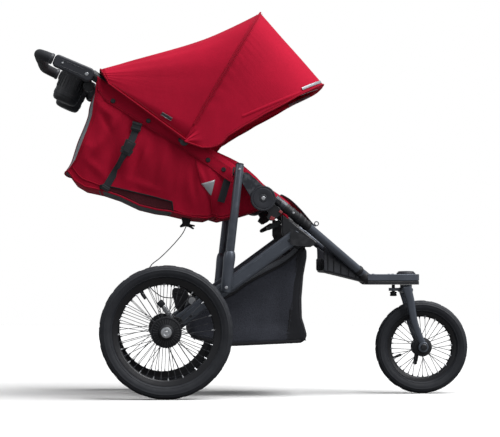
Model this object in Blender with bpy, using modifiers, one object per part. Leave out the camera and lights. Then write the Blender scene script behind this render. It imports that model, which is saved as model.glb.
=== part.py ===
"""Three-wheel jogging stroller: folding frame, reclining seat, canopy, basket and spoked wheels.

Metres, +Z up, +X forward, +Y to the child's left. Points are written from the rear axle's
ground point, and one empty shifts the whole model to the centre of its footprint.
"""
import math

import bmesh
import bpy
from mathutils import Matrix, Vector

for old in list(bpy.data.objects):
    bpy.data.objects.remove(old, do_unlink=True)

# ---------------------------------------------------------------- driving dimensions
GAP = 0.0004                  # between pieces that touch
RUNNING = 0.0003              # radial clearance round a pin or an axle

REAR_R = 0.200                # 16 inch class rear wheel
AXLE_RISE = REAR_R - 0.200    # moves what hangs on the swing arms with the axle
REAR_TYRE_W = 0.047
REAR_RIM_R = 0.162
REAR_RIM_IN_R = 0.1415
REAR_SPOKES = 24
WHEEL_Y = 0.285               # centre plane of a rear wheel
FRONT_R = 0.146               # 12 inch class front wheel
FRONT_TYRE_W = 0.045
FRONT_RIM_R = 0.110
FRONT_RIM_IN_R = 0.095
FRONT_SPOKES = 16
WHEELBASE = 0.808
WHEEL_STEPS = 36
AXLE_R = 0.006
SPOKE_R = 0.0011
BUTTON_R = 0.0165             # the rear wheels' release buttons
BUTTON_TRAVEL = 0.003

TUBE_R = 0.0135               # main and upper frame tubes
TUBE_Y = 0.196                # their centre plane at the hinge
HINGE = Vector((0.2937, 0, 0.6026))
HINGE_TUBE_OFFSET = 0.0225    # tube axes pass this far above the hinge pin
HINGE_DRUM_R = 0.036
HINGE_PLATE_R = 0.030
HINGE_PLATE_T = 0.0144
HINGE_CAP_R = 0.037
HINGE_CAP_T = 0.006
HINGE_PIN_R = 0.006
SOCKET_WALL = 0.002
UPPER_SLOPE = math.radians(34.0)
LOWER_SLOPE = math.radians(38.5)
UPPER_START = 0.038           # from the foot of the hinge pin on each tube's axis
LOWER_START = 0.030
UPPER_LENGTH = 0.580
MAIN_BEND = 0.098             # where the main tubes turn inwards, from the same foot
NOSE_X = 0.630                # where the main tubes run into the front platform
NOSE_Y = 0.052
PLATFORM_TOP = 0.3745
PLATFORM_T = 0.033
PLATFORM_END_X = 0.802
SWIVEL_X = 0.760
FORK_Y = 0.0460
FORK_T = 0.0140
LOCK_REACH = 0.040            # the swivel lock's knob, behind the swivel axis
LOCK_R = 0.0055

ARM_PIVOT = Vector((0.388, 0, 0.485))
ARM_HALF_H = 0.021
ARM_T = 0.020
ARM_Y = 0.215
PIVOT_PIN_R = 0.005
STRUT_FOOT = Vector((0.1808, 0, 0.3328 + 0.534 * AXLE_RISE))
STRUT_TOP = Vector((0.221, 0, 0.695))
STRUT_R = 0.0128
STRUT_SLEEVE_R = 0.0165
STRUT_SLEEVE_LENGTH = 0.104
CROSSBAR = Vector((0.080, 0, 0.2935 + 0.794 * AXLE_RISE))
CROSSBAR_R = 0.011
BRAKE_PIVOT = Vector((0.0400, 0, 0.2260 + AXLE_RISE))
BRAKE_SHAFT_R = 0.0045
LATCH_PIVOT = Vector((0.345, 0, 0.530))

SEAT_CREASE = Vector((0.150, 0, 0.562))
SEAT_BACK_LENGTH = 0.425
SEAT_BACK_T = 0.028
SEAT_BACK_ANGLE = math.radians(163.5)
SEAT_HALF_W = 0.170
PANEL_T = 0.003

CANOPY_PIVOT = Vector((0.055, 0, 0.7744))
BOW_REACH = 0.466
CANOPY_CLEAR = 0.0105         # from a bow's axis out to the middle of the fabric
MAIN_BOW_ANGLE = math.radians(59.7)
FRONT_BOW_ANGLE = math.radians(23.3)
BOW_TUBE_R = 0.005
CANOPY_BOSS_R = 0.014
CANOPY_T = 0.003

HANDLE_PIVOT = Vector((-0.239, 0, 0.976))
HANDLE_SLOPE = math.radians(23.8)
HANDLE_REACH = 0.158          # from the pivot to the cross bar's axis
HANDLE_ARM_LENGTH = 0.092
HANDLE_ARM_HALF_H = 0.0205
HANDLE_ARM_T = 0.020
GRIP_R = 0.0145
HANDLE_BAR_R = 0.0085
HANDLE_BAR_CLEAR = 0.0014
GRIP_CORNER_R = 0.042
CUP_R = 0.042
CUP_Y = 0.115
CUP_DEPTH = 0.105
CUP_WALL = 0.003
STRAP_T = 0.0015
STRAP_W = 0.020

# ---------------------------------------------------------------- derived places
HINGE_PLATE_Y = TUBE_Y + TUBE_R + GAP
HINGE_CAP_Y = HINGE_PLATE_Y + HINGE_PLATE_T + GAP
STRUT_Y = HINGE_CAP_Y + HINGE_CAP_T + 2 * GAP + STRUT_R
HANDLE_PLATE_Y = TUBE_Y + TUBE_R + SOCKET_WALL + GAP
HANDLE_ARM_Y = HANDLE_PLATE_Y + HANDLE_ARM_T / 2
MAIN_BOW_Y = TUBE_Y + TUBE_R + 0.004 + 2 * GAP + BOW_TUBE_R
FRONT_BOW_Y = MAIN_BOW_Y + 2 * BOW_TUBE_R + GAP
CANOPY_HALF_W = FRONT_BOW_Y + BOW_TUBE_R + CANOPY_T + GAP
UPPER_DIR = Vector((-math.cos(UPPER_SLOPE), 0, math.sin(UPPER_SLOPE)))
UPPER_NORMAL = Vector((math.sin(UPPER_SLOPE), 0, math.cos(UPPER_SLOPE)))
LOWER_DIR = Vector((math.cos(LOWER_SLOPE), 0, -math.sin(LOWER_SLOPE)))
LOWER_NORMAL = Vector((math.sin(LOWER_SLOPE), 0, math.cos(LOWER_SLOPE)))
UPPER_FOOT = HINGE + UPPER_NORMAL * HINGE_TUBE_OFFSET
LOWER_FOOT = HINGE + LOWER_NORMAL * HINGE_TUBE_OFFSET
UPPER_END = UPPER_FOOT + UPPER_DIR * (UPPER_START + UPPER_LENGTH)
REAR_AXLE = Vector((0, 0, REAR_R))
FRONT_AXLE = Vector((WHEELBASE, 0, FRONT_R))
HANDLE_DIR = Vector((-math.cos(HANDLE_SLOPE), 0, math.sin(HANDLE_SLOPE)))
GRIP = HANDLE_PIVOT + HANDLE_DIR * HANDLE_REACH
CENTRE_X = (WHEELBASE + FRONT_R + GRIP.x - GRIP_R) / 2
SIDES = (("right", -1), ("left", 1))

# ---------------------------------------------------------------- scene helpers
parts = bpy.data.collections.new("jogging_stroller")
cutters = bpy.data.collections.new("cutters")
bpy.context.scene.collection.children.link(parts)
bpy.context.scene.collection.children.link(cutters)


def make_material(name, colour, roughness, metallic=0.0):
    """A Principled BSDF with one colour."""
    material = bpy.data.materials.new(name)
    material.use_nodes = True
    shader = material.node_tree.nodes["Principled BSDF"]
    shader.inputs["Base Color"].default_value = (*colour, 1.0)
    shader.inputs["Roughness"].default_value = roughness
    shader.inputs["Metallic"].default_value = metallic
    return material


FRAME = make_material("gunmetal", (0.085, 0.095, 0.120), 0.38, 0.8)
BLACK = make_material("black_plastic", (0.018, 0.018, 0.022), 0.50)
CHARCOAL = make_material("charcoal_plastic", (0.040, 0.042, 0.052), 0.45)
TYRE = make_material("tyre", (0.020, 0.021, 0.025), 0.80)
STEEL = make_material("steel", (0.60, 0.61, 0.64), 0.30, 1.0)
SILVER = make_material("silver", (0.45, 0.46, 0.48), 0.40, 0.7)
FABRIC = make_material("crimson_fabric", (0.50, 0.008, 0.035), 0.85)
MESH = make_material("basket_mesh", (0.045, 0.047, 0.060), 0.90)
WEBBING = make_material("webbing", (0.035, 0.040, 0.050), 0.85)


def make_pivot(name, place, parent=None):
    """An empty at a joint, given in the rear axle's frame."""
    empty = bpy.data.objects.new(name, None)
    parts.objects.link(empty)
    empty.location = place
    empty.parent = parent
    return empty


SHIFT = make_pivot("stroller_origin", Vector((-CENTRE_X, 0, 0)))


def place(thing, material, pivot=None):
    """Give a piece its material and parent it to its joint's empty without moving it."""
    thing.data.materials.clear()
    thing.data.materials.append(material)
    thing.data.shade_smooth()
    thing.data.set_sharp_from_angle(angle=math.radians(35))
    thing.parent = pivot or SHIFT
    thing.matrix_parent_inverse = Matrix.Translation(-(pivot.location if pivot else Vector()))
    return thing


def new_object(name, mesh):
    thing = bpy.data.objects.new(name, mesh)
    parts.objects.link(thing)
    return thing


def from_bmesh(name, bm):
    """Finish a bmesh: weld, face outwards, and wrap it in an object."""
    bmesh.ops.remove_doubles(bm, verts=bm.verts, dist=1e-6)
    bmesh.ops.recalc_face_normals(bm, faces=bm.faces)
    mesh = bpy.data.meshes.new(name)
    bm.to_mesh(mesh)
    bm.free()
    return new_object(name, mesh)


def from_curve(name, curve, matrix=Matrix()):
    """Turn a curve into a welded mesh object."""
    holder = bpy.data.objects.new(name + "_curve", curve)
    bpy.context.scene.collection.objects.link(holder)
    bpy.context.view_layer.update()
    graph = bpy.context.evaluated_depsgraph_get()
    mesh = bpy.data.meshes.new_from_object(holder.evaluated_get(graph))
    bpy.data.objects.remove(holder, do_unlink=True)
    bm = bmesh.new()
    bm.from_mesh(mesh)
    bmesh.ops.transform(bm, matrix=matrix, verts=bm.verts)
    return from_bmesh(name, bm)


def tube(name, points, radius, resolution=2, wall=0.0):
    """A round bar along a polyline with flat ends, or a hose with open ends and a wall."""
    curve = bpy.data.curves.new(name, "CURVE")
    curve.dimensions = "3D"
    curve.bevel_depth = radius
    curve.bevel_resolution = resolution
    curve.use_fill_caps = not wall
    spline = curve.splines.new("POLY")
    spline.points.add(len(points) - 1)
    for spot, point in zip(spline.points, points):
        spot.co = (*point, 1.0)
    body = from_curve(name, curve)
    if wall:
        modifier = body.modifiers.new("wall", "SOLIDIFY")
        modifier.thickness = wall
        modifier.offset = -1.0
        apply_modifiers(body)
    return body


def plate(name, outline, y_low, y_high, soften=0.0):
    """A flat outline in the side view, given as (x, z), extruded between two y planes."""
    curve = bpy.data.curves.new(name, "CURVE")
    curve.dimensions = "2D"
    curve.fill_mode = "BOTH"
    curve.extrude = (y_high - y_low) / 2
    spline = curve.splines.new("POLY")
    spline.points.add(len(outline) - 1)
    for spot, (x, z) in zip(spline.points, outline):
        spot.co = (x, z, 0.0, 1.0)
    spline.use_cyclic_u = True
    turn = Matrix.Translation((0, (y_low + y_high) / 2, 0)) @ Matrix.Rotation(math.pi / 2, 4, "X")
    thing = from_curve(name, curve, turn)
    if soften:
        round_edges(thing, soften)
    return thing


def side_plate(name, outline, side, inner, outer, soften=0.0):
    """A plate between two distances from the middle plane, on one side."""
    low, high = sorted((side * inner, side * outer))
    return plate(name, outline, low, high, soften)


def round_edges(thing, width, segments=1):
    """Bevel the sharp edges."""
    modifier = thing.modifiers.new("soft_edges", "BEVEL")
    modifier.width = width
    modifier.segments = segments
    modifier.limit_method = "ANGLE"
    modifier.angle_limit = math.radians(40)
    apply_modifiers(thing)


def apply_modifiers(thing):
    bpy.context.view_layer.update()
    graph = bpy.context.evaluated_depsgraph_get()
    mesh = bpy.data.meshes.new_from_object(thing.evaluated_get(graph))
    thing.modifiers.clear()
    thing.data = mesh


def combine(thing, other, operation="UNION"):
    """An exact Boolean that uses up the second object."""
    modifier = thing.modifiers.new("combine", "BOOLEAN")
    modifier.operation = operation
    modifier.solver = "EXACT"
    modifier.object = other
    apply_modifiers(thing)
    bpy.data.objects.remove(other, do_unlink=True)
    return thing


def cut(thing, other):
    return combine(thing, other, "DIFFERENCE")


def cylinder(name, start, end, radius, sides=24):
    """A closed cylinder between two points."""
    start, end = Vector(start), Vector(end)
    bm = bmesh.new()
    bmesh.ops.create_cone(bm, cap_ends=True, segments=sides, radius1=radius, radius2=radius,
                          depth=(end - start).length)
    turn = Vector((0, 0, 1)).rotation_difference(end - start).to_matrix().to_4x4()
    bmesh.ops.transform(bm, matrix=Matrix.Translation((start + end) / 2) @ turn, verts=bm.verts)
    return from_bmesh(name, bm)


def cross_pin(name, centre, side, inner, outer, radius, sides=24):
    """A cylinder along Y between two distances from the middle plane."""
    return cylinder(name, centre + Vector((0, side * inner, 0)),
                    centre + Vector((0, side * outer, 0)), radius, sides)


def block(name, low, high, soften=0.0):
    """A box between two corners."""
    low, high = Vector(low), Vector(high)
    bm = bmesh.new()
    bmesh.ops.create_cube(bm, size=1.0)
    bmesh.ops.transform(bm, matrix=Matrix.LocRotScale((low + high) / 2, None, high - low),
                        verts=bm.verts)
    thing = from_bmesh(name, bm)
    if soften:
        round_edges(thing, soften)
    return thing


def turned(name, profile, centre, steps, ring=False):
    """Turn (radius, y) points about the Y axis through a centre."""
    bm = bmesh.new()
    spots = [bm.verts.new((radius, y, 0)) for radius, y in profile]
    edges = [bm.edges.new(pair) for pair in zip(spots, spots[1:])]
    if ring:
        edges.append(bm.edges.new((spots[-1], spots[0])))
    bmesh.ops.spin(bm, geom=spots + edges, cent=(0, 0, 0), axis=(0, 1, 0), angle=2 * math.pi,
                   steps=steps, use_merge=True)
    bmesh.ops.transform(bm, matrix=Matrix.Translation(centre), verts=bm.verts)
    return from_bmesh(name, bm)


def sheet(name, rows, thickness, offset=0.0):
    """A surface through rows of points, made solid."""
    bm = bmesh.new()
    grid = [[bm.verts.new(point) for point in row] for row in rows]
    for upper, lower in zip(grid, grid[1:]):
        for k in range(len(upper) - 1):
            bm.faces.new((upper[k], upper[k + 1], lower[k + 1], lower[k]))
    mesh = bpy.data.meshes.new(name)
    bm.to_mesh(mesh)
    bm.free()
    thing = new_object(name, mesh)
    modifier = thing.modifiers.new("thickness", "SOLIDIFY")
    modifier.thickness = thickness
    modifier.offset = offset
    apply_modifiers(thing)
    bm = bmesh.new()
    bm.from_mesh(thing.data)
    bmesh.ops.recalc_face_normals(bm, faces=bm.faces)
    bm.to_mesh(thing.data)
    bm.free()
    return thing


def arc(centre, radius, start, end, count):
    """Points (x, z) on an arc, angles in degrees from +X towards +Z."""
    points = []
    for k in range(count):
        angle = math.radians(start + (end - start) * k / (count - 1))
        points.append((centre.x + radius * math.cos(angle), centre.z + radius * math.sin(angle)))
    return points


def stadium(start, end, radius_start, radius_end, count=9):
    """An outline round two circles."""
    heading = math.degrees(math.atan2(end.z - start.z, end.x - start.x))
    return (arc(end, radius_end, heading - 90, heading + 90, count)
            + arc(start, radius_start, heading + 90, heading + 270, count))


def rounded_path(points, radius, steps=4):
    """A polyline whose inner corners are arcs."""
    path = [Vector(points[0])]
    for before, corner, after in zip(points, points[1:], points[2:]):
        before, corner, after = Vector(before), Vector(corner), Vector(after)
        entry = (before - corner).normalized()
        leave = (after - corner).normalized()
        half = entry.angle(leave) / 2
        back = radius / math.tan(half)
        hub = corner + (entry + leave).normalized() * (radius / math.sin(half))
        first = corner + entry * back - hub
        last = corner + leave * back - hub
        swing = first.angle(last)
        for k in range(steps + 1):
            share = k / steps
            mixed = (first * math.sin(swing * (1 - share)) + last * math.sin(swing * share))
            path.append(hub + mixed / math.sin(swing))
    path.append(Vector(points[-1]))
    return path


def at_side(point, y):
    return Vector((point.x, y, point.z))


# ---------------------------------------------------------------- joints' empties
fold = make_pivot("joint_handle_fold", HINGE, SHIFT)
rear = make_pivot("joint_rear_frame", ARM_PIVOT, SHIFT)
struts = make_pivot("joint_struts", STRUT_FOOT, SHIFT)
recline = make_pivot("joint_recline", SEAT_CREASE, SHIFT)
canopy = make_pivot("joint_canopy", CANOPY_PIVOT, SHIFT)
handle = make_pivot("joint_handle", HANDLE_PIVOT, SHIFT)
swivel = make_pivot("joint_swivel", Vector((SWIVEL_X, 0, FRONT_R)), SHIFT)
front_spin = make_pivot("joint_front_wheel", FRONT_AXLE, SHIFT)
rear_spin = make_pivot("joint_rear_wheels", REAR_AXLE, SHIFT)
brake = make_pivot("joint_brake", BRAKE_PIVOT, SHIFT)
latch = make_pivot("joint_fold_latch", LATCH_PIVOT, SHIFT)
release = make_pivot("joint_quick_release", FRONT_AXLE, SHIFT)


# ---------------------------------------------------------------- front frame
def main_tube(side_name, side):
    """The lower frame tube, from the hinge down and inwards to the front platform."""
    start = LOWER_FOOT + LOWER_DIR * (LOWER_START + 0.010)
    bend = LOWER_FOOT + LOWER_DIR * MAIN_BEND
    span = (NOSE_X - bend.x) / LOWER_DIR.x
    nose = bend + LOWER_DIR * (span - 0.012)
    path = rounded_path([at_side(start, side * TUBE_Y), at_side(bend, side * TUBE_Y),
                         at_side(nose, side * NOSE_Y)], 0.08)
    return place(tube(f"main_tube_{side_name}", path, TUBE_R, 4), FRAME)


def lower_hinge(side_name, side):
    """Drum, pin, cap and tube socket of the fold hinge, fixed to the main tube."""
    profile = [(0, TUBE_Y - TUBE_R), (HINGE_DRUM_R, TUBE_Y - TUBE_R), (HINGE_DRUM_R, TUBE_Y + TUBE_R),
               (HINGE_PIN_R, TUBE_Y + TUBE_R), (HINGE_PIN_R, HINGE_CAP_Y), (HINGE_CAP_R, HINGE_CAP_Y),
               (HINGE_CAP_R, HINGE_CAP_Y + HINGE_CAP_T * 0.6),
               (HINGE_CAP_R * 0.88, HINGE_CAP_Y + HINGE_CAP_T), (0, HINGE_CAP_Y + HINGE_CAP_T)]
    body = turned(f"lower_hinge_{side_name}", [(r, side * y) for r, y in profile], HINGE, 24)
    ends = [at_side(LOWER_FOOT + LOWER_DIR * reach, side * TUBE_Y)
            for reach in (LOWER_START, LOWER_START + 0.040)]
    combine(body, cylinder("socket", ends[0], ends[1], TUBE_R + SOCKET_WALL, 20))
    bore = [at_side(LOWER_FOOT + LOWER_DIR * reach, side * TUBE_Y)
            for reach in (LOWER_START + 0.010 - GAP, LOWER_START + 0.060)]
    cut(body, cylinder("bore", bore[0], bore[1], TUBE_R + GAP, 20))
    return place(body, FRAME)


def front_platform():
    """The flat nose over the front wheel, with the swivel housing's raised cap."""
    half_rear, half_front = 0.070, 0.040
    outline = [(NOSE_X, -half_rear), (NOSE_X + 0.060, -half_rear * 0.86)]
    nose = Vector((PLATFORM_END_X - half_front, 0, 0))
    outline += arc(nose, half_front, -80, 80, 9)
    outline += [(NOSE_X + 0.060, half_rear * 0.86), (NOSE_X, half_rear)]
    body = plate("front_platform", outline, -PLATFORM_T / 2, PLATFORM_T / 2, 0.004)
    lift = Matrix.Translation((0, 0, PLATFORM_TOP - PLATFORM_T / 2))
    body.data.transform(lift @ Matrix.Rotation(-math.pi / 2, 4, "X"))
    boss = cylinder("boss", (SWIVEL_X, 0, PLATFORM_TOP - 0.010),
                    (SWIVEL_X, 0, PLATFORM_TOP + 0.009), 0.027, 28)
    combine(body, boss)
    for _, side in SIDES:
        end = Vector((NOSE_X + 0.012, side * NOSE_Y, PLATFORM_TOP - PLATFORM_T / 2))
        reach = LOWER_DIR * 0.040
        aim = Vector((reach.x, 0, reach.z))
        combine(body, cylinder("cup", end - aim * 0.1, end + aim * 0.2, 0.0155, 16))
    return place(body, FRAME)


def footrest():
    """The ribbed plastic tray hung between the main tubes."""
    rear_x, front_x = 0.4890, 0.6240
    drop = 1.6 * (TUBE_R - 0.0135)
    profile = [(rear_x, 0.4290), (rear_x + 0.001, 0.3815), (rear_x + 0.022, 0.3775),
               (front_x, 0.3480), (front_x, 0.3520)]
    body = plate("footrest", [(x, z - drop) for x, z in profile], -0.5, 0.5)
    taper_width(body, rear_x, 0.112, front_x, 0.055)
    inner = [(rear_x - 0.01, 0.50), (rear_x + 0.006, 0.3865), (rear_x + 0.024, 0.3825),
             (front_x - 0.004, 0.3530), (front_x - 0.002, 0.42)]
    hollow = plate("hollow", [(x, z - drop) for x, z in inner], -0.5, 0.5)
    taper_width(hollow, rear_x, 0.107, front_x, 0.050)
    cut(body, hollow)
    return place(body, CHARCOAL)


def taper_width(thing, x_start, half_start, x_end, half_end):
    """Set each vertex's distance from the middle plane from its place along X."""
    for vertex in thing.data.vertices:
        share = (vertex.co.x - x_start) / (x_end - x_start)
        half = half_start + (half_end - half_start) * share
        vertex.co.y = math.copysign(half, vertex.co.y)


def arm_bracket(side_name, side):
    """The clevis under the main tube that carries a swing arm."""
    inner_face = ARM_Y - ARM_T / 2 - GAP
    outer_face = ARM_Y + ARM_T / 2 + GAP
    block_outline = [(0.352, 0.5570), (0.352, 0.5000), (0.372, 0.4560), (0.440, 0.4560),
                     (0.462, 0.4690)]
    body = side_plate(f"arm_bracket_{side_name}", block_outline, side, inner_face - 0.024,
                      inner_face, 0.003)
    cheek = [(0.376, 0.5120), (0.376, 0.4640), (0.400, 0.4580), (0.448, 0.4600),
             (0.448, 0.4760)]
    combine(body, side_plate("cheek", cheek, side, outer_face, outer_face + 0.004))
    web = [(0.4125, 0.4830), (0.4125, 0.4640), (0.446, 0.4620), (0.446, 0.4760)]
    combine(body, side_plate("web", web, side, inner_face - 0.002, outer_face + 0.002))
    combine(body, cross_pin("pin", ARM_PIVOT, side, inner_face - 0.010, outer_face + 0.002,
                            PIVOT_PIN_R, 16))
    return place(body, BLACK)


def frame_crossbar():
    """The bar that ties the two arm brackets together."""
    reach = ARM_Y - ARM_T / 2 - 2 * GAP - 0.024
    return place(cylinder("frame_crossbar", (0.430, -reach, 0.470), (0.430, reach, 0.470), 0.0095, 16),
                 FRAME)


def fold_latch():
    """Pull bar under the seat that frees the fold hinges."""
    reach = ARM_Y - ARM_T / 2 - 0.024 - 3 * GAP
    body = cylinder("fold_latch", LATCH_PIVOT + Vector((0, -reach, 0)),
                    LATCH_PIVOT + Vector((0, reach, 0)), 0.006, 12)
    pull = LATCH_PIVOT + Vector((-0.030, 0, -0.016))
    for _, side in SIDES:
        combine(body, side_plate("finger", stadium(LATCH_PIVOT, pull, 0.009, 0.006, 5), side,
                                 reach - 0.040, reach - 0.006, 0.002))
    return place(body, BLACK, latch)


for name, sign in SIDES:
    main_tube(name, sign)
    lower_hinge(name, sign)
    arm_bracket(name, sign)
fold_latch()
front_platform()
footrest()
frame_crossbar()


# ---------------------------------------------------------------- upper frame
def upper_tube(side_name, side):
    """The upper frame tube, with the riveted boss that the canopy's bows turn on."""
    start = UPPER_FOOT + UPPER_DIR * (UPPER_START + 0.010)
    body = cylinder(f"upper_tube_{side_name}", at_side(start, side * TUBE_Y),
                    at_side(UPPER_END, side * TUBE_Y), TUBE_R, 16)
    combine(body, cross_pin("boss", CANOPY_PIVOT, side, TUBE_Y, TUBE_Y + TUBE_R + 0.004,
                            CANOPY_BOSS_R, 20))
    return place(body, FRAME, fold)


def upper_hinge(side_name, side):
    """The moving leaf of the fold hinge: plate, pin hole and tube socket."""
    tail = UPPER_FOOT + UPPER_DIR * 0.078
    body = side_plate(f"upper_hinge_{side_name}", stadium(HINGE, tail, HINGE_PLATE_R, 0.0170, 8),
                      side, HINGE_PLATE_Y, HINGE_PLATE_Y + HINGE_PLATE_T)
    ends = [at_side(UPPER_FOOT + UPPER_DIR * reach, side * TUBE_Y)
            for reach in (UPPER_START, UPPER_START + 0.050)]
    combine(body, cylinder("socket", ends[0], ends[1], TUBE_R + SOCKET_WALL, 20))
    bore = [at_side(UPPER_FOOT + UPPER_DIR * reach, side * TUBE_Y)
            for reach in (UPPER_START + 0.010 - GAP, UPPER_START + 0.070)]
    cut(body, cylinder("bore", bore[0], bore[1], TUBE_R + GAP, 20))
    cut(body, cross_pin("hole", HINGE, side, TUBE_Y, HINGE_CAP_Y + HINGE_CAP_T,
                        HINGE_PIN_R + RUNNING))
    return place(body, FRAME, fold)


def handle_socket(side_name, side):
    """The plastic end piece of an upper tube, which carries the handle's pivot."""
    body = cross_pin(f"handle_socket_{side_name}", HANDLE_PIVOT, side, TUBE_Y - TUBE_R,
                     TUBE_Y + TUBE_R, 0.0205, 20)
    ends = [at_side(UPPER_END - UPPER_DIR * reach, side * TUBE_Y) for reach in (0.050, -0.022)]
    combine(body, cylinder("sleeve", ends[0], ends[1], TUBE_R + SOCKET_WALL, 20))
    bore = [at_side(UPPER_END - UPPER_DIR * reach, side * TUBE_Y) for reach in (0.070, -GAP)]
    cut(body, cylinder("bore", bore[0], bore[1], TUBE_R + GAP, 20))
    combine(body, cross_pin("pin", HANDLE_PIVOT, side, TUBE_Y, HANDLE_PLATE_Y + HANDLE_ARM_T,
                            PIVOT_PIN_R, 16))
    return place(body, BLACK, fold)


def cup_axis():
    """The cup holders lean with the handle."""
    return Vector((math.sin(HANDLE_SLOPE), 0, math.cos(HANDLE_SLOPE)))


def parent_organizer():
    """Moulded tray with two cup holders, clipped between the handle sockets."""
    axis = cup_axis()
    rim = Vector((-0.2705, 0, 0.9960))
    body = None
    for _, side in SIDES:
        top = at_side(rim, side * CUP_Y)
        cup = cylinder("cup", top - axis * CUP_DEPTH, top, CUP_R, 24)
        if body is None:
            body = cup
        else:
            combine(body, cup)
    body.name = "parent_organizer"
    across = Vector((-math.cos(HANDLE_SLOPE), 0, math.sin(HANDLE_SLOPE)))
    tray = [rim + across * 0.033 - axis * 0.003, rim - across * 0.033 - axis * 0.003,
            rim - across * 0.029 - axis * 0.045, rim + across * 0.029 - axis * 0.045]
    combine(body, plate("tray", [(p.x, p.z) for p in tray], -CUP_Y, CUP_Y))
    clip = Vector((-0.2350, 0, 0.9450))
    for _, side in SIDES:
        combine(body, cross_pin("clip", clip, side, CUP_Y, TUBE_Y - TUBE_R - 2 * GAP, 0.016, 16))
    for _, side in SIDES:
        top = at_side(rim, side * CUP_Y)
        cut(body, cylinder("hollow", top - axis * (CUP_DEPTH - CUP_WALL), top + axis * 0.02,
                           CUP_R - CUP_WALL, 24))
    well = [rim + across * 0.030 + axis * 0.02, rim - across * 0.030 + axis * 0.02,
            rim - across * 0.026 - axis * 0.041, rim + across * 0.026 - axis * 0.041]
    reach = CUP_Y - CUP_R - CUP_WALL
    cut(body, plate("well", [(p.x, p.z) for p in well], -reach, reach))
    return place(body, BLACK, fold)


for name, sign in SIDES:
    upper_tube(name, sign)
    upper_hinge(name, sign)
    handle_socket(name, sign)
parent_organizer()


# ---------------------------------------------------------------- handle
def handlebar():
    """Two flat arms that pivot on the sockets, joined by the cross bar."""
    arm_end = HANDLE_PIVOT + HANDLE_DIR * HANDLE_ARM_LENGTH
    path = rounded_path([at_side(HANDLE_PIVOT + HANDLE_DIR * 0.050, -HANDLE_ARM_Y),
                         at_side(GRIP, -HANDLE_ARM_Y), at_side(GRIP, HANDLE_ARM_Y),
                         at_side(HANDLE_PIVOT + HANDLE_DIR * 0.050, HANDLE_ARM_Y)],
                        GRIP_CORNER_R, 5)
    body = tube("handlebar", path, HANDLE_BAR_R, 2)
    for _, side in SIDES:
        arm = side_plate("arm", stadium(HANDLE_PIVOT, arm_end, HANDLE_ARM_HALF_H, HANDLE_ARM_HALF_H, 7),
                         side, HANDLE_PLATE_Y, HANDLE_PLATE_Y + HANDLE_ARM_T, 0.003)
        combine(body, arm)
    for _, side in SIDES:
        cut(body, cross_pin("hole", HANDLE_PIVOT, side, TUBE_Y, HANDLE_PLATE_Y + HANDLE_ARM_T + 0.01,
                            PIVOT_PIN_R + RUNNING, 16))
    for _, side in SIDES:
        seat = HANDLE_PIVOT + HANDLE_DIR * 0.040
        cut(body, cross_pin("button_well", seat, side, HANDLE_PLATE_Y - 0.01,
                            HANDLE_PLATE_Y + 0.008, 0.009 + RUNNING, 16))
    return place(body, CHARCOAL, handle)


def handle_grip():
    """The foam sleeve round the cross bar and its corners."""
    arm_end = HANDLE_PIVOT + HANDLE_DIR * (HANDLE_ARM_LENGTH + HANDLE_ARM_HALF_H + GAP)
    corner = [at_side(arm_end, -HANDLE_ARM_Y), at_side(GRIP, -HANDLE_ARM_Y),
              at_side(GRIP, HANDLE_ARM_Y), at_side(arm_end, HANDLE_ARM_Y)]
    body = tube("handle_grip", rounded_path(corner, GRIP_CORNER_R, 5), GRIP_R, 2,
                GRIP_R - HANDLE_BAR_R - HANDLE_BAR_CLEAR)
    return place(body, BLACK, handle)


def handle_button(side_name, side):
    """The height lock's push button on the inner face of a handle arm."""
    seat = HANDLE_PIVOT + HANDLE_DIR * 0.040
    body = cross_pin(f"handle_button_{side_name}", seat, side, HANDLE_PLATE_Y - 0.003,
                     HANDLE_PLATE_Y + 0.0035, 0.009, 16)
    return place(body, SILVER, handle)


handlebar()
handle_grip()
for name, sign in SIDES:
    handle_button(name, sign)


# ---------------------------------------------------------------- canopy
def bow_point(angle, reach, half_width, share):
    """A point on a squared U: share runs from -1 at the right foot to 1 at the left."""
    turn = share * math.pi / 2
    y = half_width * math.copysign(abs(math.sin(turn)) ** 0.5, turn)
    out = reach * abs(math.cos(turn)) ** 0.5
    return CANOPY_PIVOT + Vector((out * math.cos(angle), y, out * math.sin(angle)))


def bow(name, angle, half_width, hub_y):
    """A bent tube on two flat hubs."""
    shares = [-1 + 2 * k / 18 for k in range(19)]
    path = [bow_point(angle, BOW_REACH, half_width, share) for share in shares]
    body = tube(name, path, BOW_TUBE_R, 1)
    for _, side in SIDES:
        combine(body, cross_pin("hub", CANOPY_PIVOT, side, hub_y - BOW_TUBE_R, hub_y + BOW_TUBE_R,
                                0.013, 16))
    return place(body, BLACK, canopy)


def canopy_rear_panel():
    """Rear fabric: from the main bow back to the handle, down to the upper tubes."""
    rows = []
    half = CANOPY_HALF_W
    tail = UPPER_FOOT + UPPER_DIR * 0.585 + UPPER_NORMAL * 0.030
    for k in range(5):
        blend = k / 4
        row = []
        for j in range(25):
            share = -1 + 2 * j / 24
            front = bow_point(MAIN_BOW_ANGLE + math.radians(0.5), BOW_REACH + CANOPY_CLEAR, half, share)
            turn = share * math.pi / 2
            y = half * math.copysign(abs(math.sin(turn)) ** 0.5, turn)
            lift = 0.055 * abs(math.cos(turn)) ** 0.5
            back = tail + UPPER_NORMAL * (lift - 0.030) + Vector((0, y, 0))
            row.append(front.lerp(back, blend))
        rows.append(row)
    return place(sheet("canopy_rear_panel", rows, CANOPY_T), FABRIC, fold)


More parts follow.
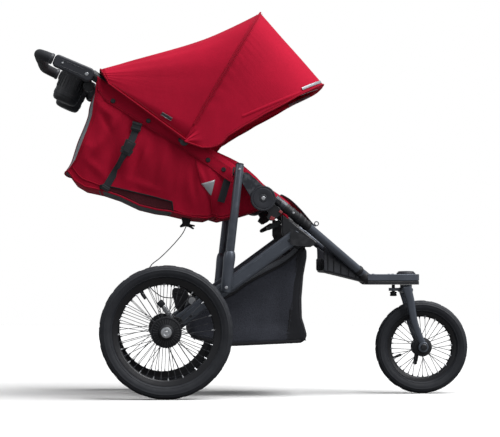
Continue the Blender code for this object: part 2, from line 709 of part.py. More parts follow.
def canopy_front_panel():
    """Front fabric: a fan between the two bows."""
    rows = []
    half = CANOPY_HALF_W
    for k in range(5):
        first, last = MAIN_BOW_ANGLE - math.radians(3.0), FRONT_BOW_ANGLE - math.radians(1.2)
        angle = first + (last - first) * k / 4
        rows.append([bow_point(angle, BOW_REACH + CANOPY_CLEAR, half, -0.985 + 1.97 * j / 24)
                     for j in range(25)])
    return place(sheet("canopy_front_panel", rows, CANOPY_T), FABRIC, canopy)


bow("canopy_main_bow", MAIN_BOW_ANGLE, MAIN_BOW_Y, MAIN_BOW_Y)
bow("canopy_front_bow", FRONT_BOW_ANGLE, FRONT_BOW_Y, FRONT_BOW_Y)
canopy_rear_panel()
canopy_front_panel()


# ---------------------------------------------------------------- seat
def seat_bottom():
    outline = [(0.168, 0.546), (0.244, 0.560), (0.300, 0.578), (0.346, 0.590), (0.354, 0.604),
               (0.346, 0.6190), (0.300, 0.6180), (0.244, 0.6000), (0.170, 0.5800)]
    return place(plate("seat_bottom", outline, -0.160, 0.160, 0.006), FABRIC)


def leg_panel():
    """The calf flap from the seat's front edge down over the main tubes."""
    side_line = [(0.3585, 0.616, 0.150), (0.3840, 0.6010, 0.144), (0.4180, 0.5700, 0.134),
                 (0.4560, 0.5260, 0.122)]
    rows = [[Vector((x, half * j / 3, z)) for j in range(-3, 4)] for x, z, half in side_line]
    return place(sheet("leg_panel", rows, 0.006), FABRIC)


def seat_back():
    along = Vector((math.cos(SEAT_BACK_ANGLE), 0, math.sin(SEAT_BACK_ANGLE)))
    across = Vector((along.z, 0, -along.x))
    low = SEAT_CREASE + along * 0.006 - across * (SEAT_BACK_T / 2)
    corners = [low, low + along * SEAT_BACK_LENGTH, low + along * SEAT_BACK_LENGTH + across * SEAT_BACK_T,
               low + across * SEAT_BACK_T]
    body = plate("seat_back", [(p.x, p.z) for p in corners], -SEAT_HALF_W, SEAT_HALF_W, 0.006)
    return place(body, FABRIC, recline)


def side_panel(side_name, side):
    """Fabric between an upper tube and the edge of the seat back."""
    drop = (UPPER_FOOT - CANOPY_PIVOT).dot(UPPER_NORMAL) + CANOPY_BOSS_R + 0.003
    top = [UPPER_FOOT + UPPER_DIR * reach - UPPER_NORMAL * drop
           for reach in (0.565, 0.450, 0.330, 0.220, 0.110)]
    low = [Vector(p) for p in ((-0.2900, 0, 0.6790), (-0.1897, 0, 0.6200), (-0.0776, 0, 0.5740),
                               (0.0700, 0, 0.5460), (0.2340, 0, 0.5560))]
    bulge = [0.020, 0.012, 0.006, 0.002, 0.0]
    rows = []
    for upper, lower, out in zip(top, low, bulge):
        row = []
        for k in range(5):
            share = k / 4
            point = upper.lerp(lower, share)
            point.x += out * math.sin(math.pi * share)
            y = 0.2110 + (SEAT_HALF_W + 0.006 - 0.2110) * share
            row.append(at_side(point, side * y))
        rows.append(row)
    return place(sheet(f"side_panel_{side_name}", rows, PANEL_T), FABRIC, fold)


def head_panel():
    """Fabric wall behind the child's head, from the handle end of the frame to the seat back."""
    line = [(-0.2100, 0.9300), (-0.2180, 0.8542), (-0.2440, 0.7791), (-0.2680, 0.7185),
            (-0.2860, 0.6830)]
    rows = [[Vector((x, 0.170 * j / 3, z)) for j in range(-3, 4)] for x, z in line]
    return place(sheet("head_panel", rows, PANEL_T), FABRIC, fold)


def harness():
    """Shoulder straps on the seat back, crotch strap and buckle on the seat."""
    along = Vector((math.cos(SEAT_BACK_ANGLE), 0, math.sin(SEAT_BACK_ANGLE)))
    across = Vector((along.z, 0, -along.x))
    top = SEAT_CREASE + across * (SEAT_BACK_T / 2 + GAP) + along * 0.006
    for side_name, side in SIDES:
        a = top + along * 0.050
        b = top + along * 0.300
        ends = [a, b, b + across * 0.006, a + across * 0.006]
        inner = 0.050
        body = side_plate(f"shoulder_strap_{side_name}", [(p.x, p.z) for p in ends], side, inner,
                          inner + 0.045, 0.0015)
        place(body, BLACK, recline)
    place(block("harness_buckle", (0.236, -0.024, 0.6204), (0.286, 0.024, 0.6364), 0.004), BLACK)


def recline_strap(side_name, side):
    """Webbing with its buckle, from the upper frame to the seat back's edge."""
    line = [(-0.0904, 0.8241, 0.2145), (-0.1084, 0.7545, 0.2075), (-0.1480, 0.6900, 0.1975),
            (-0.1866, 0.6280, 0.1830)]
    rows = []
    for x, z, y in line:
        rows.append([Vector((x - STRAP_W / 2, side * y, z)), Vector((x + STRAP_W / 2, side * y, z))])
    body = sheet(f"recline_strap_{side_name}", rows, STRAP_T)
    x, z, y = line[1]
    low, high = sorted((side * (y - 0.0002), side * (y + 0.008)))
    combine(body, block("buckle", (x - 0.016, low, z - 0.021), (x + 0.016, high, z + 0.021), 0.002))
    return place(body, WEBBING, fold)


seat_bottom()
leg_panel()
seat_back()
head_panel()
harness()
for name, sign in SIDES:
    side_panel(name, sign)
    recline_strap(name, sign)


# ---------------------------------------------------------------- basket
def basket():
    """Open mesh tub between the front brackets and the rear crossbar."""
    outer = [(0.4090, 0.4520), (0.4214, 0.4440), (0.4304, 0.1878), (0.4150, 0.1633),
             (0.2036, 0.1546), (0.0900, 0.1750), (0.0700, 0.2040), (0.0860, 0.2740),
             (0.1500, 0.2900), (0.2280, 0.3200), (0.3200, 0.3820)]
    inner = [(0.3900, 0.5000), (0.4184, 0.4470), (0.4274, 0.1885), (0.4138, 0.1663),
             (0.2038, 0.1576), (0.0915, 0.1777), (0.0732, 0.2046), (0.0900, 0.2765),
             (0.0850, 0.3500)]
    body = plate("basket", outer, -0.170, 0.170)
    cut(body, plate("hollow", inner, -0.167, 0.167))
    return place(body, MESH)


basket()


# ---------------------------------------------------------------- rear frame
def swing_arm(side_name, side):
    """Flat oval bar from the rear axle to its pivot under the main tube."""
    inner, outer = ARM_Y - ARM_T / 2, ARM_Y + ARM_T / 2
    body = side_plate(f"swing_arm_{side_name}", stadium(REAR_AXLE, ARM_PIVOT, ARM_HALF_H, ARM_HALF_H, 9),
                      side, inner, outer, 0.004)
    for centre, radius in ((REAR_AXLE, AXLE_R), (ARM_PIVOT, PIVOT_PIN_R), (STRUT_FOOT, PIVOT_PIN_R)):
        cut(body, cross_pin("hole", centre, side, inner - 0.01, outer + 0.01, radius + RUNNING, 16))
    return place(body, FRAME, rear)


def rear_axle():
    """The steel rod through both arms and both hubs."""
    reach = WHEEL_Y + 0.024
    rod = cylinder("rear_axle", (0, -reach, REAR_R), (0, reach, REAR_R), AXLE_R, 16)
    return place(rod, STEEL, rear)


def axle_tube():
    """Tube round the axle between the arms, with the arm that carries the brake's shaft."""
    reach = ARM_Y - ARM_T / 2 - GAP
    body = cylinder("axle_tube", (0, -reach, REAR_R), (0, reach, REAR_R), 0.0125, 20)
    combine(body, plate("web", stadium(REAR_AXLE, BRAKE_PIVOT, 0.011, 0.009, 7), -0.088, -0.080))
    combine(body, cylinder("shaft", BRAKE_PIVOT + Vector((0, -0.125, 0)),
                           BRAKE_PIVOT + Vector((0, -0.084, 0)), BRAKE_SHAFT_R, 16))
    cut(body, cylinder("bore", (0, -reach - 0.01, REAR_R), (0, reach + 0.01, REAR_R),
                       AXLE_R + RUNNING, 16))
    return place(body, FRAME, rear)


def rear_crossbar():
    """Bar across the arms with the bracket that the tether is tied to."""
    reach = ARM_Y - ARM_T / 2 - GAP
    body = cylinder("rear_crossbar", CROSSBAR + Vector((0, -reach, 0)),
                    CROSSBAR + Vector((0, reach, 0)), CROSSBAR_R, 20)
    outline = [(0.060, 0.3290), (0.028, 0.3290), (0.026, 0.3120), (0.036, 0.2700), (0.050, 0.2550),
               (0.0780, 0.2860), (0.0780, 0.3000)]
    outline = [(x, z + 0.794 * AXLE_RISE) for x, z in outline]
    combine(body, plate("bracket", outline, -0.018, 0.018, 0.002))
    return place(body, SILVER, rear)


def brake_pedal():
    """Foot lever on a cross shaft beside the axle tube."""
    tip = BRAKE_PIVOT + Vector((-0.0530, 0, 0.0590))
    body = plate("brake_pedal", stadium(BRAKE_PIVOT, tip, 0.010, 0.010, 7), -0.120, -0.092, 0.003)
    cut(body, cylinder("bore", BRAKE_PIVOT + Vector((0, -0.130, 0)), BRAKE_PIVOT + Vector((0, -0.080, 0)),
                       BRAKE_SHAFT_R + RUNNING, 16))
    return place(body, SILVER, brake)


def tether_strap():
    """Flat webbing that ties the seat's underside to the crossbar bracket."""
    line = [(0.0710, 0.5080), (0.0560, 0.4980), (0.0470, 0.4890), (0.0240, 0.4590), (-0.0060, 0.4320),
            (-0.0350, 0.4020), (-0.0480, 0.3720), (-0.0420, 0.3420), (-0.0200, 0.3190), (0.0040, 0.3110),
            (0.0252, 0.3170)]
    line = [(x, z + 0.794 * AXLE_RISE * (0.508 - z) / 0.191) for x, z in line]
    rows = [[Vector((x, -0.0075, z)), Vector((x, 0.0075, z))] for x, z in line]
    return place(sheet("tether_strap", rows, STRAP_T), WEBBING, rear)


for name, sign in SIDES:
    swing_arm(name, sign)
rear_axle()
axle_tube()
rear_crossbar()
brake_pedal()
tether_strap()


# ---------------------------------------------------------------- struts
def strut(side_name, side):
    """Round strut with a thicker lower sleeve and its foot pin."""
    foot = at_side(STRUT_FOOT, side * STRUT_Y)
    top = at_side(STRUT_TOP, side * STRUT_Y)
    along = (top - foot).normalized()
    body = cylinder(f"strut_{side_name}", foot, top + along * 0.010, STRUT_R, 20)
    combine(body, cylinder("sleeve", foot - along * 0.012, foot + along * STRUT_SLEEVE_LENGTH,
                           STRUT_SLEEVE_R, 20))
    pin_inner = ARM_Y - ARM_T / 2
    combine(body, cross_pin("pin", STRUT_FOOT, side, pin_inner, STRUT_Y, PIVOT_PIN_R, 16))
    return place(body, FRAME, struts)


for name, sign in SIDES:
    strut(name, sign)


# ---------------------------------------------------------------- wheels
def tyre(name, centre, radius, width, bead_radius, pivot):
    """A rounded tyre section, turned."""
    half = width / 2
    depth = radius - bead_radius
    section = [(bead_radius, -half * 0.60), (bead_radius + depth * 0.45, -half),
               (radius - depth * 0.14, -half * 0.72), (radius, -half * 0.25), (radius, half * 0.25),
               (radius - depth * 0.14, half * 0.72), (bead_radius + depth * 0.45, half),
               (bead_radius, half * 0.60)]
    return place(turned(name, section, centre, WHEEL_STEPS, ring=True), TYRE, pivot)


def rim(name, centre, outer, inner, width, pivot):
    """A channel-shaped rim inside the tyre's bead."""
    half = width / 2
    section = [(outer - GAP, -half), (outer - GAP, half), (inner + 0.006, half), (inner, 0),
               (inner + 0.006, -half)]
    return place(turned(name, section, centre, WHEEL_STEPS, ring=True), BLACK, pivot)


def hub(name, centre, profile, bore, spokes, flanges, reach, pivot):
    """Turned hub with wire spokes from two flanges, given as (radius, y), out to the rim."""
    body = turned(name, profile, centre, 20)
    for k in range(spokes):
        angle = 2 * math.pi * (k + 0.5) / spokes
        radius, y = flanges[k % 2]
        lean = math.radians(9) * (1 if k % 4 < 2 else -1)
        start = centre + Vector((radius * math.cos(angle), y, radius * math.sin(angle)))
        end = centre + Vector((reach * math.cos(angle + lean), 0, reach * math.sin(angle + lean)))
        combine(body, cylinder("spoke", start, end, SPOKE_R, 4))
    low = min(y for _, y in profile) - 0.02
    high = max(y for _, y in profile) + 0.02
    cut(body, cylinder("bore", centre + Vector((0, low, 0)), centre + Vector((0, high, 0)), bore, 16))
    return place(body, BLACK, pivot)


def rear_wheel(side_name, side):
    centre = at_side(REAR_AXLE, side * WHEEL_Y)
    tyre(f"rear_tyre_{side_name}", centre, REAR_R, REAR_TYRE_W, REAR_RIM_R, rear_spin)
    rim(f"rear_rim_{side_name}", centre, REAR_RIM_R, REAR_RIM_IN_R, 0.024, rear_spin)
    profile = [(0, -0.0550), (0.0140, -0.0550), (0.0140, -0.0260), (0.0300, -0.0240), (0.0300, -0.0190),
               (0.0160, -0.0160), (0.0160, 0.0020), (0.0465, 0.0040), (0.0465, 0.0130),
               (0.0190, 0.0220), (0.0190, 0.0320), (BUTTON_R + RUNNING, 0.0320),
               (BUTTON_R + RUNNING, 0.0320 - BUTTON_TRAVEL - 0.0010), (0, 0.0320 - BUTTON_TRAVEL - 0.0010)]
    hub(f"rear_hub_{side_name}", centre, [(r, side * y) for r, y in profile], AXLE_R + RUNNING,
        REAR_SPOKES, ((0.038, side * 0.0085), (0.026, -side * 0.0215)), REAR_RIM_IN_R - 0.0008, rear_spin)
    button = cylinder(f"axle_button_{side_name}", centre + Vector((0, side * 0.0315, 0)),
                      centre + Vector((0, side * 0.0357, 0)), BUTTON_R, 20)
    place(button, STEEL, rear_spin)


def front_wheel():
    tyre("front_tyre", FRONT_AXLE, FRONT_R, FRONT_TYRE_W, FRONT_RIM_R, front_spin)
    rim("front_rim", FRONT_AXLE, FRONT_RIM_R, FRONT_RIM_IN_R, 0.022, front_spin)
    profile = [(0, -0.0370), (0.0120, -0.0370), (0.0130, -0.0300), (0.0300, -0.0260), (0.0300, -0.0220),
               (0.0130, -0.0180), (0.0130, 0.0180), (0.0300, 0.0220), (0.0300, 0.0260),
               (0.0130, 0.0300), (0.0120, 0.0370), (0, 0.0370)]
    hub("front_hub", FRONT_AXLE, profile, AXLE_R + RUNNING, FRONT_SPOKES,
        ((0.026, -0.0240), (0.026, 0.0240)), FRONT_RIM_IN_R - 0.0008, front_spin)


for name, sign in SIDES:
    rear_wheel(name, sign)
front_wheel()


# ---------------------------------------------------------------- front fork
def front_fork():
    """Crown, steerer boss and two curved legs down to the front axle."""
    crown_low = PLATFORM_TOP - PLATFORM_T - 0.026
    half = FORK_Y + FORK_T / 2 - 0.0015
    body = block("front_fork", (SWIVEL_X - 0.021, -half, crown_low),
                 (SWIVEL_X + 0.023, half, PLATFORM_TOP - PLATFORM_T - 0.008), 0.004)
    combine(body, cylinder("steerer", (SWIVEL_X, 0, crown_low + 0.004),
                           (SWIVEL_X, 0, PLATFORM_TOP - PLATFORM_T - GAP), 0.019, 20))
    ear = block("ear", (SWIVEL_X - LOCK_REACH - 0.012, -0.011, crown_low + 0.0060),
                (SWIVEL_X - 0.015, 0.011, PLATFORM_TOP - PLATFORM_T - 0.0100))
    combine(body, ear)
    spot = Vector((SWIVEL_X - LOCK_REACH, 0, crown_low))
    cut(body, cylinder("lock_hole", spot, spot + Vector((0, 0, 0.03)), LOCK_R + RUNNING, 12))
    front_edge = [(SWIVEL_X + 0.018, crown_low + 0.010), (SWIVEL_X + 0.034, crown_low - 0.040),
                  (SWIVEL_X + 0.042, crown_low - 0.090), (WHEELBASE + 0.014, FRONT_R + 0.026)]
    rear_edge = [(WHEELBASE - 0.010, FRONT_R + 0.026), (SWIVEL_X + 0.016, crown_low - 0.090),
                 (SWIVEL_X + 0.004, crown_low - 0.040), (SWIVEL_X - 0.010, crown_low + 0.010)]
    eye = arc(FRONT_AXLE, 0.0165, 40, -220, 9)
    for _, side in SIDES:
        leg = side_plate("leg", front_edge + eye + rear_edge[1:], side, FORK_Y - FORK_T / 2,
                         FORK_Y + FORK_T / 2, 0.003)
        combine(body, leg)
    cut(body, cylinder("bore", FRONT_AXLE + Vector((0, -0.09, 0)), FRONT_AXLE + Vector((0, 0.09, 0)),
                       AXLE_R + RUNNING, 16))
    return place(body, FRAME, swivel)


def swivel_lock():
    """Spring knob in the fork's ear that locks the fork straight ahead."""
    top = PLATFORM_TOP - PLATFORM_T - GAP
    spot = Vector((SWIVEL_X - LOCK_REACH, 0, 0))
    body = cylinder("swivel_lock", spot + Vector((0, 0, top - 0.022)), spot + Vector((0, 0, top)),
                    LOCK_R, 12)
    combine(body, cylinder("head", spot + Vector((0, 0, top - 0.036)), spot + Vector((0, 0, top - 0.0215)),
                           LOCK_R * 2, 12))
    return place(body, BLACK, swivel)


def quick_release():
    """Skewer with the cam lever on the left and its nut on the right."""
    outer = FORK_Y + FORK_T / 2 + GAP
    body = cylinder("quick_release", FRONT_AXLE + Vector((0, -outer - 0.006, 0)),
                    FRONT_AXLE + Vector((0, outer + 0.006, 0)), AXLE_R, 16)
    for _, side in SIDES:
        combine(body, cross_pin("nut", FRONT_AXLE, side, outer, outer + 0.008, 0.010, 12))
    tip = FRONT_AXLE + Vector((-0.012, 0, -0.056))
    combine(body, plate("lever", stadium(FRONT_AXLE, tip, 0.009, 0.006, 7), outer + 0.002, outer + 0.009,
                        0.0015))
    return place(body, BLACK, release)


front_fork()
swivel_lock()
quick_release()
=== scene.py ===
"""Looks of the jogging stroller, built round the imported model."""

import math

import bmesh
import bpy
import numpy as np
from mathutils import Matrix, Vector, noise


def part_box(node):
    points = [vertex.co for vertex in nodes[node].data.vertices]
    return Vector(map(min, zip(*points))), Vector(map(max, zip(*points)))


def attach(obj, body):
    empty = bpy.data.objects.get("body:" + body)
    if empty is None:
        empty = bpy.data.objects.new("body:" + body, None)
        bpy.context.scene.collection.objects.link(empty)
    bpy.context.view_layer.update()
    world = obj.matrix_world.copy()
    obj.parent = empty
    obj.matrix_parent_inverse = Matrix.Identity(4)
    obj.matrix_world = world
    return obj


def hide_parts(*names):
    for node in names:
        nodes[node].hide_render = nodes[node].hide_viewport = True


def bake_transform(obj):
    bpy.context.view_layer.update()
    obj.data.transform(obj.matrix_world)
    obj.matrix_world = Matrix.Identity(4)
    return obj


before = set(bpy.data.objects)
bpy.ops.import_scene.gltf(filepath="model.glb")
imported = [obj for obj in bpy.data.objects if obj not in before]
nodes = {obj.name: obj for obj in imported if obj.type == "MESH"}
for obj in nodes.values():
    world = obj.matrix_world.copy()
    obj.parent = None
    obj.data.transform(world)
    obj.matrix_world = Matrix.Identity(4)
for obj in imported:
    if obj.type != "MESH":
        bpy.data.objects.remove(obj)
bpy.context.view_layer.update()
scene = bpy.context.scene

axle_low, axle_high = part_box("rear_axle")
ORIGIN = Vector(((axle_low.x + axle_high.x) / 2, 0, 0))     # ground point below the rear axle
SIDES = (("right", -1), ("left", 1))
Y_AXIS = Vector((0, 1, 0))
Z_AXIS = Vector((0, 0, 1))


def at(x, y, z):
    """A point given from the rear axle's ground point."""
    return ORIGIN + Vector((x, y, z))


# ------------------------------------------------------------ places shared with the CAD
TUBE_Y = 0.196
TUBE_R = 0.0135
HINGE = (0.2937, 0.6026)
ARM_PIVOT = (0.388, 0.485)
STRUT_FOOT = (0.1808, 0.3328)
STRUT_TOP = (0.221, 0.695)
STRUT_Y = 0.2443
UPPER_SLOPE = math.radians(34.0)
LOWER_SLOPE = math.radians(38.5)
UPPER_DIR = Vector((-math.cos(UPPER_SLOPE), 0, math.sin(UPPER_SLOPE)))
UPPER_UP = Vector((math.sin(UPPER_SLOPE), 0, math.cos(UPPER_SLOPE)))
LOWER_DIR = Vector((math.cos(LOWER_SLOPE), 0, -math.sin(LOWER_SLOPE)))
LOWER_UP = Vector((math.sin(LOWER_SLOPE), 0, math.cos(LOWER_SLOPE)))
HINGE_POINT = at(HINGE[0], 0, HINGE[1])
UPPER_FOOT = HINGE_POINT + UPPER_UP * 0.0225
LOWER_FOOT = HINGE_POINT + LOWER_UP * 0.0225
CANOPY_PIVOT = at(0.055, 0, 0.7744)
MAIN_BOW = math.radians(59.7)
FRONT_BOW = math.radians(23.3)
CANOPY_REACH = 0.4765
BOW_SLEEVE_REACH = 0.4668
CANOPY_HALF = 0.2381
HANDLE_PIVOT = at(-0.239, 0, 0.976)
HANDLE_SLOPE = math.radians(23.8)
HANDLE_DIR = Vector((-math.cos(HANDLE_SLOPE), 0, math.sin(HANDLE_SLOPE)))
HANDLE_UP = Vector((math.sin(HANDLE_SLOPE), 0, math.cos(HANDLE_SLOPE)))
HANDLE_Y = 0.2219
GRIP = HANDLE_PIVOT + HANDLE_DIR * 0.158
SEAT_CREASE = at(0.150, 0, 0.562)
SEAT_ANGLE = math.radians(163.5)
SEAT_ALONG = Vector((math.cos(SEAT_ANGLE), 0, math.sin(SEAT_ANGLE)))
SEAT_UP = Vector((SEAT_ALONG.z, 0, -SEAT_ALONG.x))
FRONT_AXLE = at(0.808, 0, 0.146)
PLATFORM_TOP = 0.3745


def upper_line(reach, lift=0.0, y=0.0):
    """A point beside an upper tube: reach from the hinge, lift square to the tube."""
    return UPPER_FOOT + UPPER_DIR * reach + UPPER_UP * lift + Vector((0, y, 0))


def lower_line(reach, lift=0.0, y=0.0):
    return LOWER_FOOT + LOWER_DIR * reach + LOWER_UP * lift + Vector((0, y, 0))


# ------------------------------------------------------------ mesh helpers
def smooth_path(points, steps=6):
    """A Catmull-Rom line through the points."""
    points = [Vector(p) for p in points]
    points = [2 * points[0] - points[1]] + points + [2 * points[-1] - points[-2]]
    path = []
    for a, b, c, d in zip(points, points[1:], points[2:], points[3:]):
        for k in range(steps):
            t = k / steps
            path.append(0.5 * (2 * b + (c - a) * t + (2 * a - 5 * b + 4 * c - d) * t * t
                               + (3 * b - a - 3 * c + d) * t ** 3))
    path.append(points[-2])
    return path


def resample(points, count):
    """Points evenly spaced along a polyline."""
    points = [Vector(p) for p in points]
    spans = [(b - a).length for a, b in zip(points, points[1:])]
    total = sum(spans)
    found = []
    for k in range(count):
        left = total * k / (count - 1)
        for a, b, span in zip(points, points[1:], spans):
            if left <= span or b is points[-1]:
                found.append(a.lerp(b, min(1.0, left / span) if span else 0.0))
                break
            left -= span
    return found


def rounded(points, radius, steps=6):
    """A polyline whose inner corners are arcs."""
    path = [Vector(points[0])]
    for before, corner, after in zip(points, points[1:], points[2:]):
        before, corner, after = Vector(before), Vector(corner), Vector(after)
        entry = (before - corner).normalized()
        leave = (after - corner).normalized()
        half = entry.angle(leave) / 2
        reach = radius / math.tan(half)
        centre = corner + (entry + leave).normalized() * (radius / math.sin(half))
        first = corner + entry * reach - centre
        last = corner + leave * reach - centre
        swing = first.angle(last)
        for k in range(steps + 1):
            t = k / steps
            mixed = first * math.sin(swing * (1 - t)) + last * math.sin(swing * t)
            path.append(centre + mixed / math.sin(swing))
    path.append(Vector(points[-1]))
    return path


def stadium(a, b, radius_a, radius_b, count=14):
    """(x, z) outline round two circles given as world points."""
    heading = math.atan2(b.z - a.z, b.x - a.x)
    outline = []
    for centre, radius, start in ((b, radius_b, -90), (a, radius_a, 90)):
        for k in range(count):
            angle = heading + math.radians(start + 180 * k / (count - 1))
            outline.append((centre.x + radius * math.cos(angle), centre.z + radius * math.sin(angle)))
    return outline


class Shape:
    """Collects the points and faces of one piece."""

    def __init__(self):
        self.points = []
        self.faces = []
        self.slots = []

    def face(self, indices, slot):
        self.faces.append(tuple(indices))
        self.slots.append(slot)

    def grid(self, rows, slot=0, around=False, along=False, caps=False):
        """Quads through rows of points."""
        start = len(self.points)
        width = len(rows[0])
        for row in rows:
            self.points.extend(Vector(p) for p in row)
        last_row = len(rows) if along else len(rows) - 1
        last_column = width if around else width - 1
        for i in range(last_row):
            a, b = start + i * width, start + ((i + 1) % len(rows)) * width
            for j in range(last_column):
                k = (j + 1) % width
                self.face((a + j, a + k, b + k, b + j), slot)
        if caps:
            self.face(range(start, start + width), slot)
            end = start + (len(rows) - 1) * width
            self.face(reversed(range(end, end + width)), slot)
        return self

    def tube(self, path, size, sides=12, slot=0, up=None, power=1.0, caps=True, closed=False):
        """A bar along a path. A size may be one number or (across up, square to it)."""
        path = [Vector(p) for p in path]
        count = len(path)
        sizes = size if isinstance(size, list) else [size] * count
        across = Vector(up) if up is not None else None
        rings = []
        for k, point in enumerate(path):
            after = path[(k + 1) % count] if closed else path[min(k + 1, count - 1)]
            before = path[k - 1] if closed else path[max(k - 1, 0)]
            ahead = (after - before).normalized()
            if across is None:
                across = ahead.orthogonal()
            side = (across - ahead * across.dot(ahead)).normalized()
            if up is None:
                across = side
            other = ahead.cross(side)
            a, b = sizes[k] if isinstance(sizes[k], tuple) else (sizes[k], sizes[k])
            ring = []
            for j in range(sides):
                turn = 2 * math.pi * (j + 0.5) / sides
                c, s = math.cos(turn), math.sin(turn)
                c = math.copysign(abs(c) ** power, c)
                s = math.copysign(abs(s) ** power, s)
                ring.append(point + side * (a * c) + other * (b * s))
            rings.append(ring)
        return self.grid(rings, slot, around=True, along=closed, caps=caps and not closed)

    def ribbon(self, path, width, thick, across, slot=0):
        """A flat strap. across is its width's direction, one for all or one a point."""
        path = [Vector(p) for p in path]
        directions = across if isinstance(across, list) else [Vector(across)] * len(path)
        rings = []
        for k, point in enumerate(path):
            ahead = (path[min(k + 1, len(path) - 1)] - path[max(k - 1, 0)]).normalized()
            side = directions[k]
            side = (side - ahead * side.dot(ahead)).normalized()
            face = side.cross(ahead)
            half = width / 2
            edge = min(half, thick)
            rings.append([point + side * u + face * v for u, v in (
                (-half, -thick * 0.2), (-half + edge * 0.5, -thick / 2), (half - edge * 0.5, -thick / 2),
                (half, -thick * 0.2), (half, thick * 0.2), (half - edge * 0.5, thick / 2),
                (-half + edge * 0.5, thick / 2), (-half, thick * 0.2))])
        return self.grid(rings, slot, around=True, caps=True)

    def turned(self, profile, centre, steps=48, slot=0, axis=Y_AXIS, ring=False, change=None):
        """Turn (radius, along) points about an axis. change(angle, radius, along) may alter them."""
        axis = Vector(axis).normalized()
        u = axis.orthogonal().normalized() if abs(axis.x) > 0.1 else Vector((1, 0, 0))
        u = (u - axis * u.dot(axis)).normalized()
        v = u.cross(axis)
        rows = []
        for k in range(steps):
            angle = 2 * math.pi * k / steps
            out = u * math.cos(angle) + v * math.sin(angle)
            row = []
            for radius, along in profile:
                if change:
                    radius, along = change(angle, radius, along)
                row.append(Vector(centre) + out * radius + axis * along)
            rows.append(row)
        return self.grid(rows, slot, around=ring, along=True)

    def slab(self, outline, low, high, slot=0, matrix=None):
        """An (x, z) outline between two y planes, or in the plane that matrix turns it to."""
        start = len(self.points)
        count = len(outline)
        for y in (low, high):
            for x, z in outline:
                point = Vector((x, y, z))
                self.points.append(matrix @ point if matrix else point)
        self.face(range(start, start + count), slot)
        self.face(reversed(range(start + count, start + 2 * count)), slot)
        for k in range(count):
            m = (k + 1) % count
            self.face((start + k, start + count + k, start + count + m, start + m), slot)
        return self

    def stitches(self, path, slot=0, length=0.0035, gap=0.0025, thick=0.0005, lift=None):
        """A row of thread stitches."""
        points = [Vector(p) for p in path]
        total = sum((b - a).length for a, b in zip(points, points[1:]))
        count = max(2, int(total / (length + gap)))
        dense = resample(points, count * 2 + 1)
        for k in range(count):
            a, b = dense[2 * k], dense[2 * k].lerp(dense[2 * k + 1], 1.15)
            if lift is not None:
                a, b = a + lift, b + lift
            middle = a.lerp(b, 0.5)
            self.tube([a, middle, b], [thick * 0.5, thick, thick * 0.5], 4, slot)
        return self

    def make(self, name, materials, body=None, slot=None, bevel=0.0, segments=2, subdivide=0,
             solid=0.0, offset=0.0, angle=38, weld=1e-6):
        """The finished object, riding on its body."""
        mesh = bpy.data.meshes.new(name)
        mesh.from_pydata([tuple(p) for p in self.points], [], self.faces)
        mesh.polygons.foreach_set("material_index", self.slots)
        for material in materials if isinstance(materials, (list, tuple)) else [materials]:
            mesh.materials.append(material)
        bm = bmesh.new()
        bm.from_mesh(mesh)
        bmesh.ops.remove_doubles(bm, verts=bm.verts, dist=weld)
        bmesh.ops.dissolve_degenerate(bm, edges=bm.edges, dist=1e-7)
        bmesh.ops.recalc_face_normals(bm, faces=bm.faces)
        bm.to_mesh(mesh)
        bm.free()
        mesh.shade_smooth()
        mesh.set_sharp_from_angle(angle=math.radians(angle))
        thing = bpy.data.objects.new(name, mesh)
        scene.collection.objects.link(thing)
        if solid:
            modifier = thing.modifiers.new("thickness", "SOLIDIFY")
            modifier.thickness = solid
            modifier.offset = offset
        if subdivide:
            modifier = thing.modifiers.new("smooth", "SUBSURF")
            modifier.levels = modifier.render_levels = subdivide
        if bevel:
            soften(thing, bevel, segments, angle)
        if body:
            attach(thing, body)
        return thing


def soften(thing, width, segments=2, angle=38):
    """Round the sharp edges of a piece, a carried-over CAD node included."""
    modifier = thing.modifiers.new("soft_edges", "BEVEL")
    modifier.width = width
    modifier.segments = segments
    modifier.limit_method = "ANGLE"
    modifier.angle_limit = math.radians(angle)
    modifier.harden_normals = False
    return thing


def disc(shape, centre, radius, low, high, side, slot=0, steps=28, edge=0.0008, dish=0.0):
    """A round cap on a side face, from low to high out from the middle plane."""
    profile = [(0, low), (radius, low), (radius, high - edge), (radius - edge, high)]
    if dish:
        profile += [(radius * 0.55, high), (radius * 0.48, high - dish), (0, high - dish)]
    else:
        profile += [(0, high)]
    shape.turned([(r, side * y) for r, y in profile], Vector((centre.x, 0, centre.z)), steps, slot)


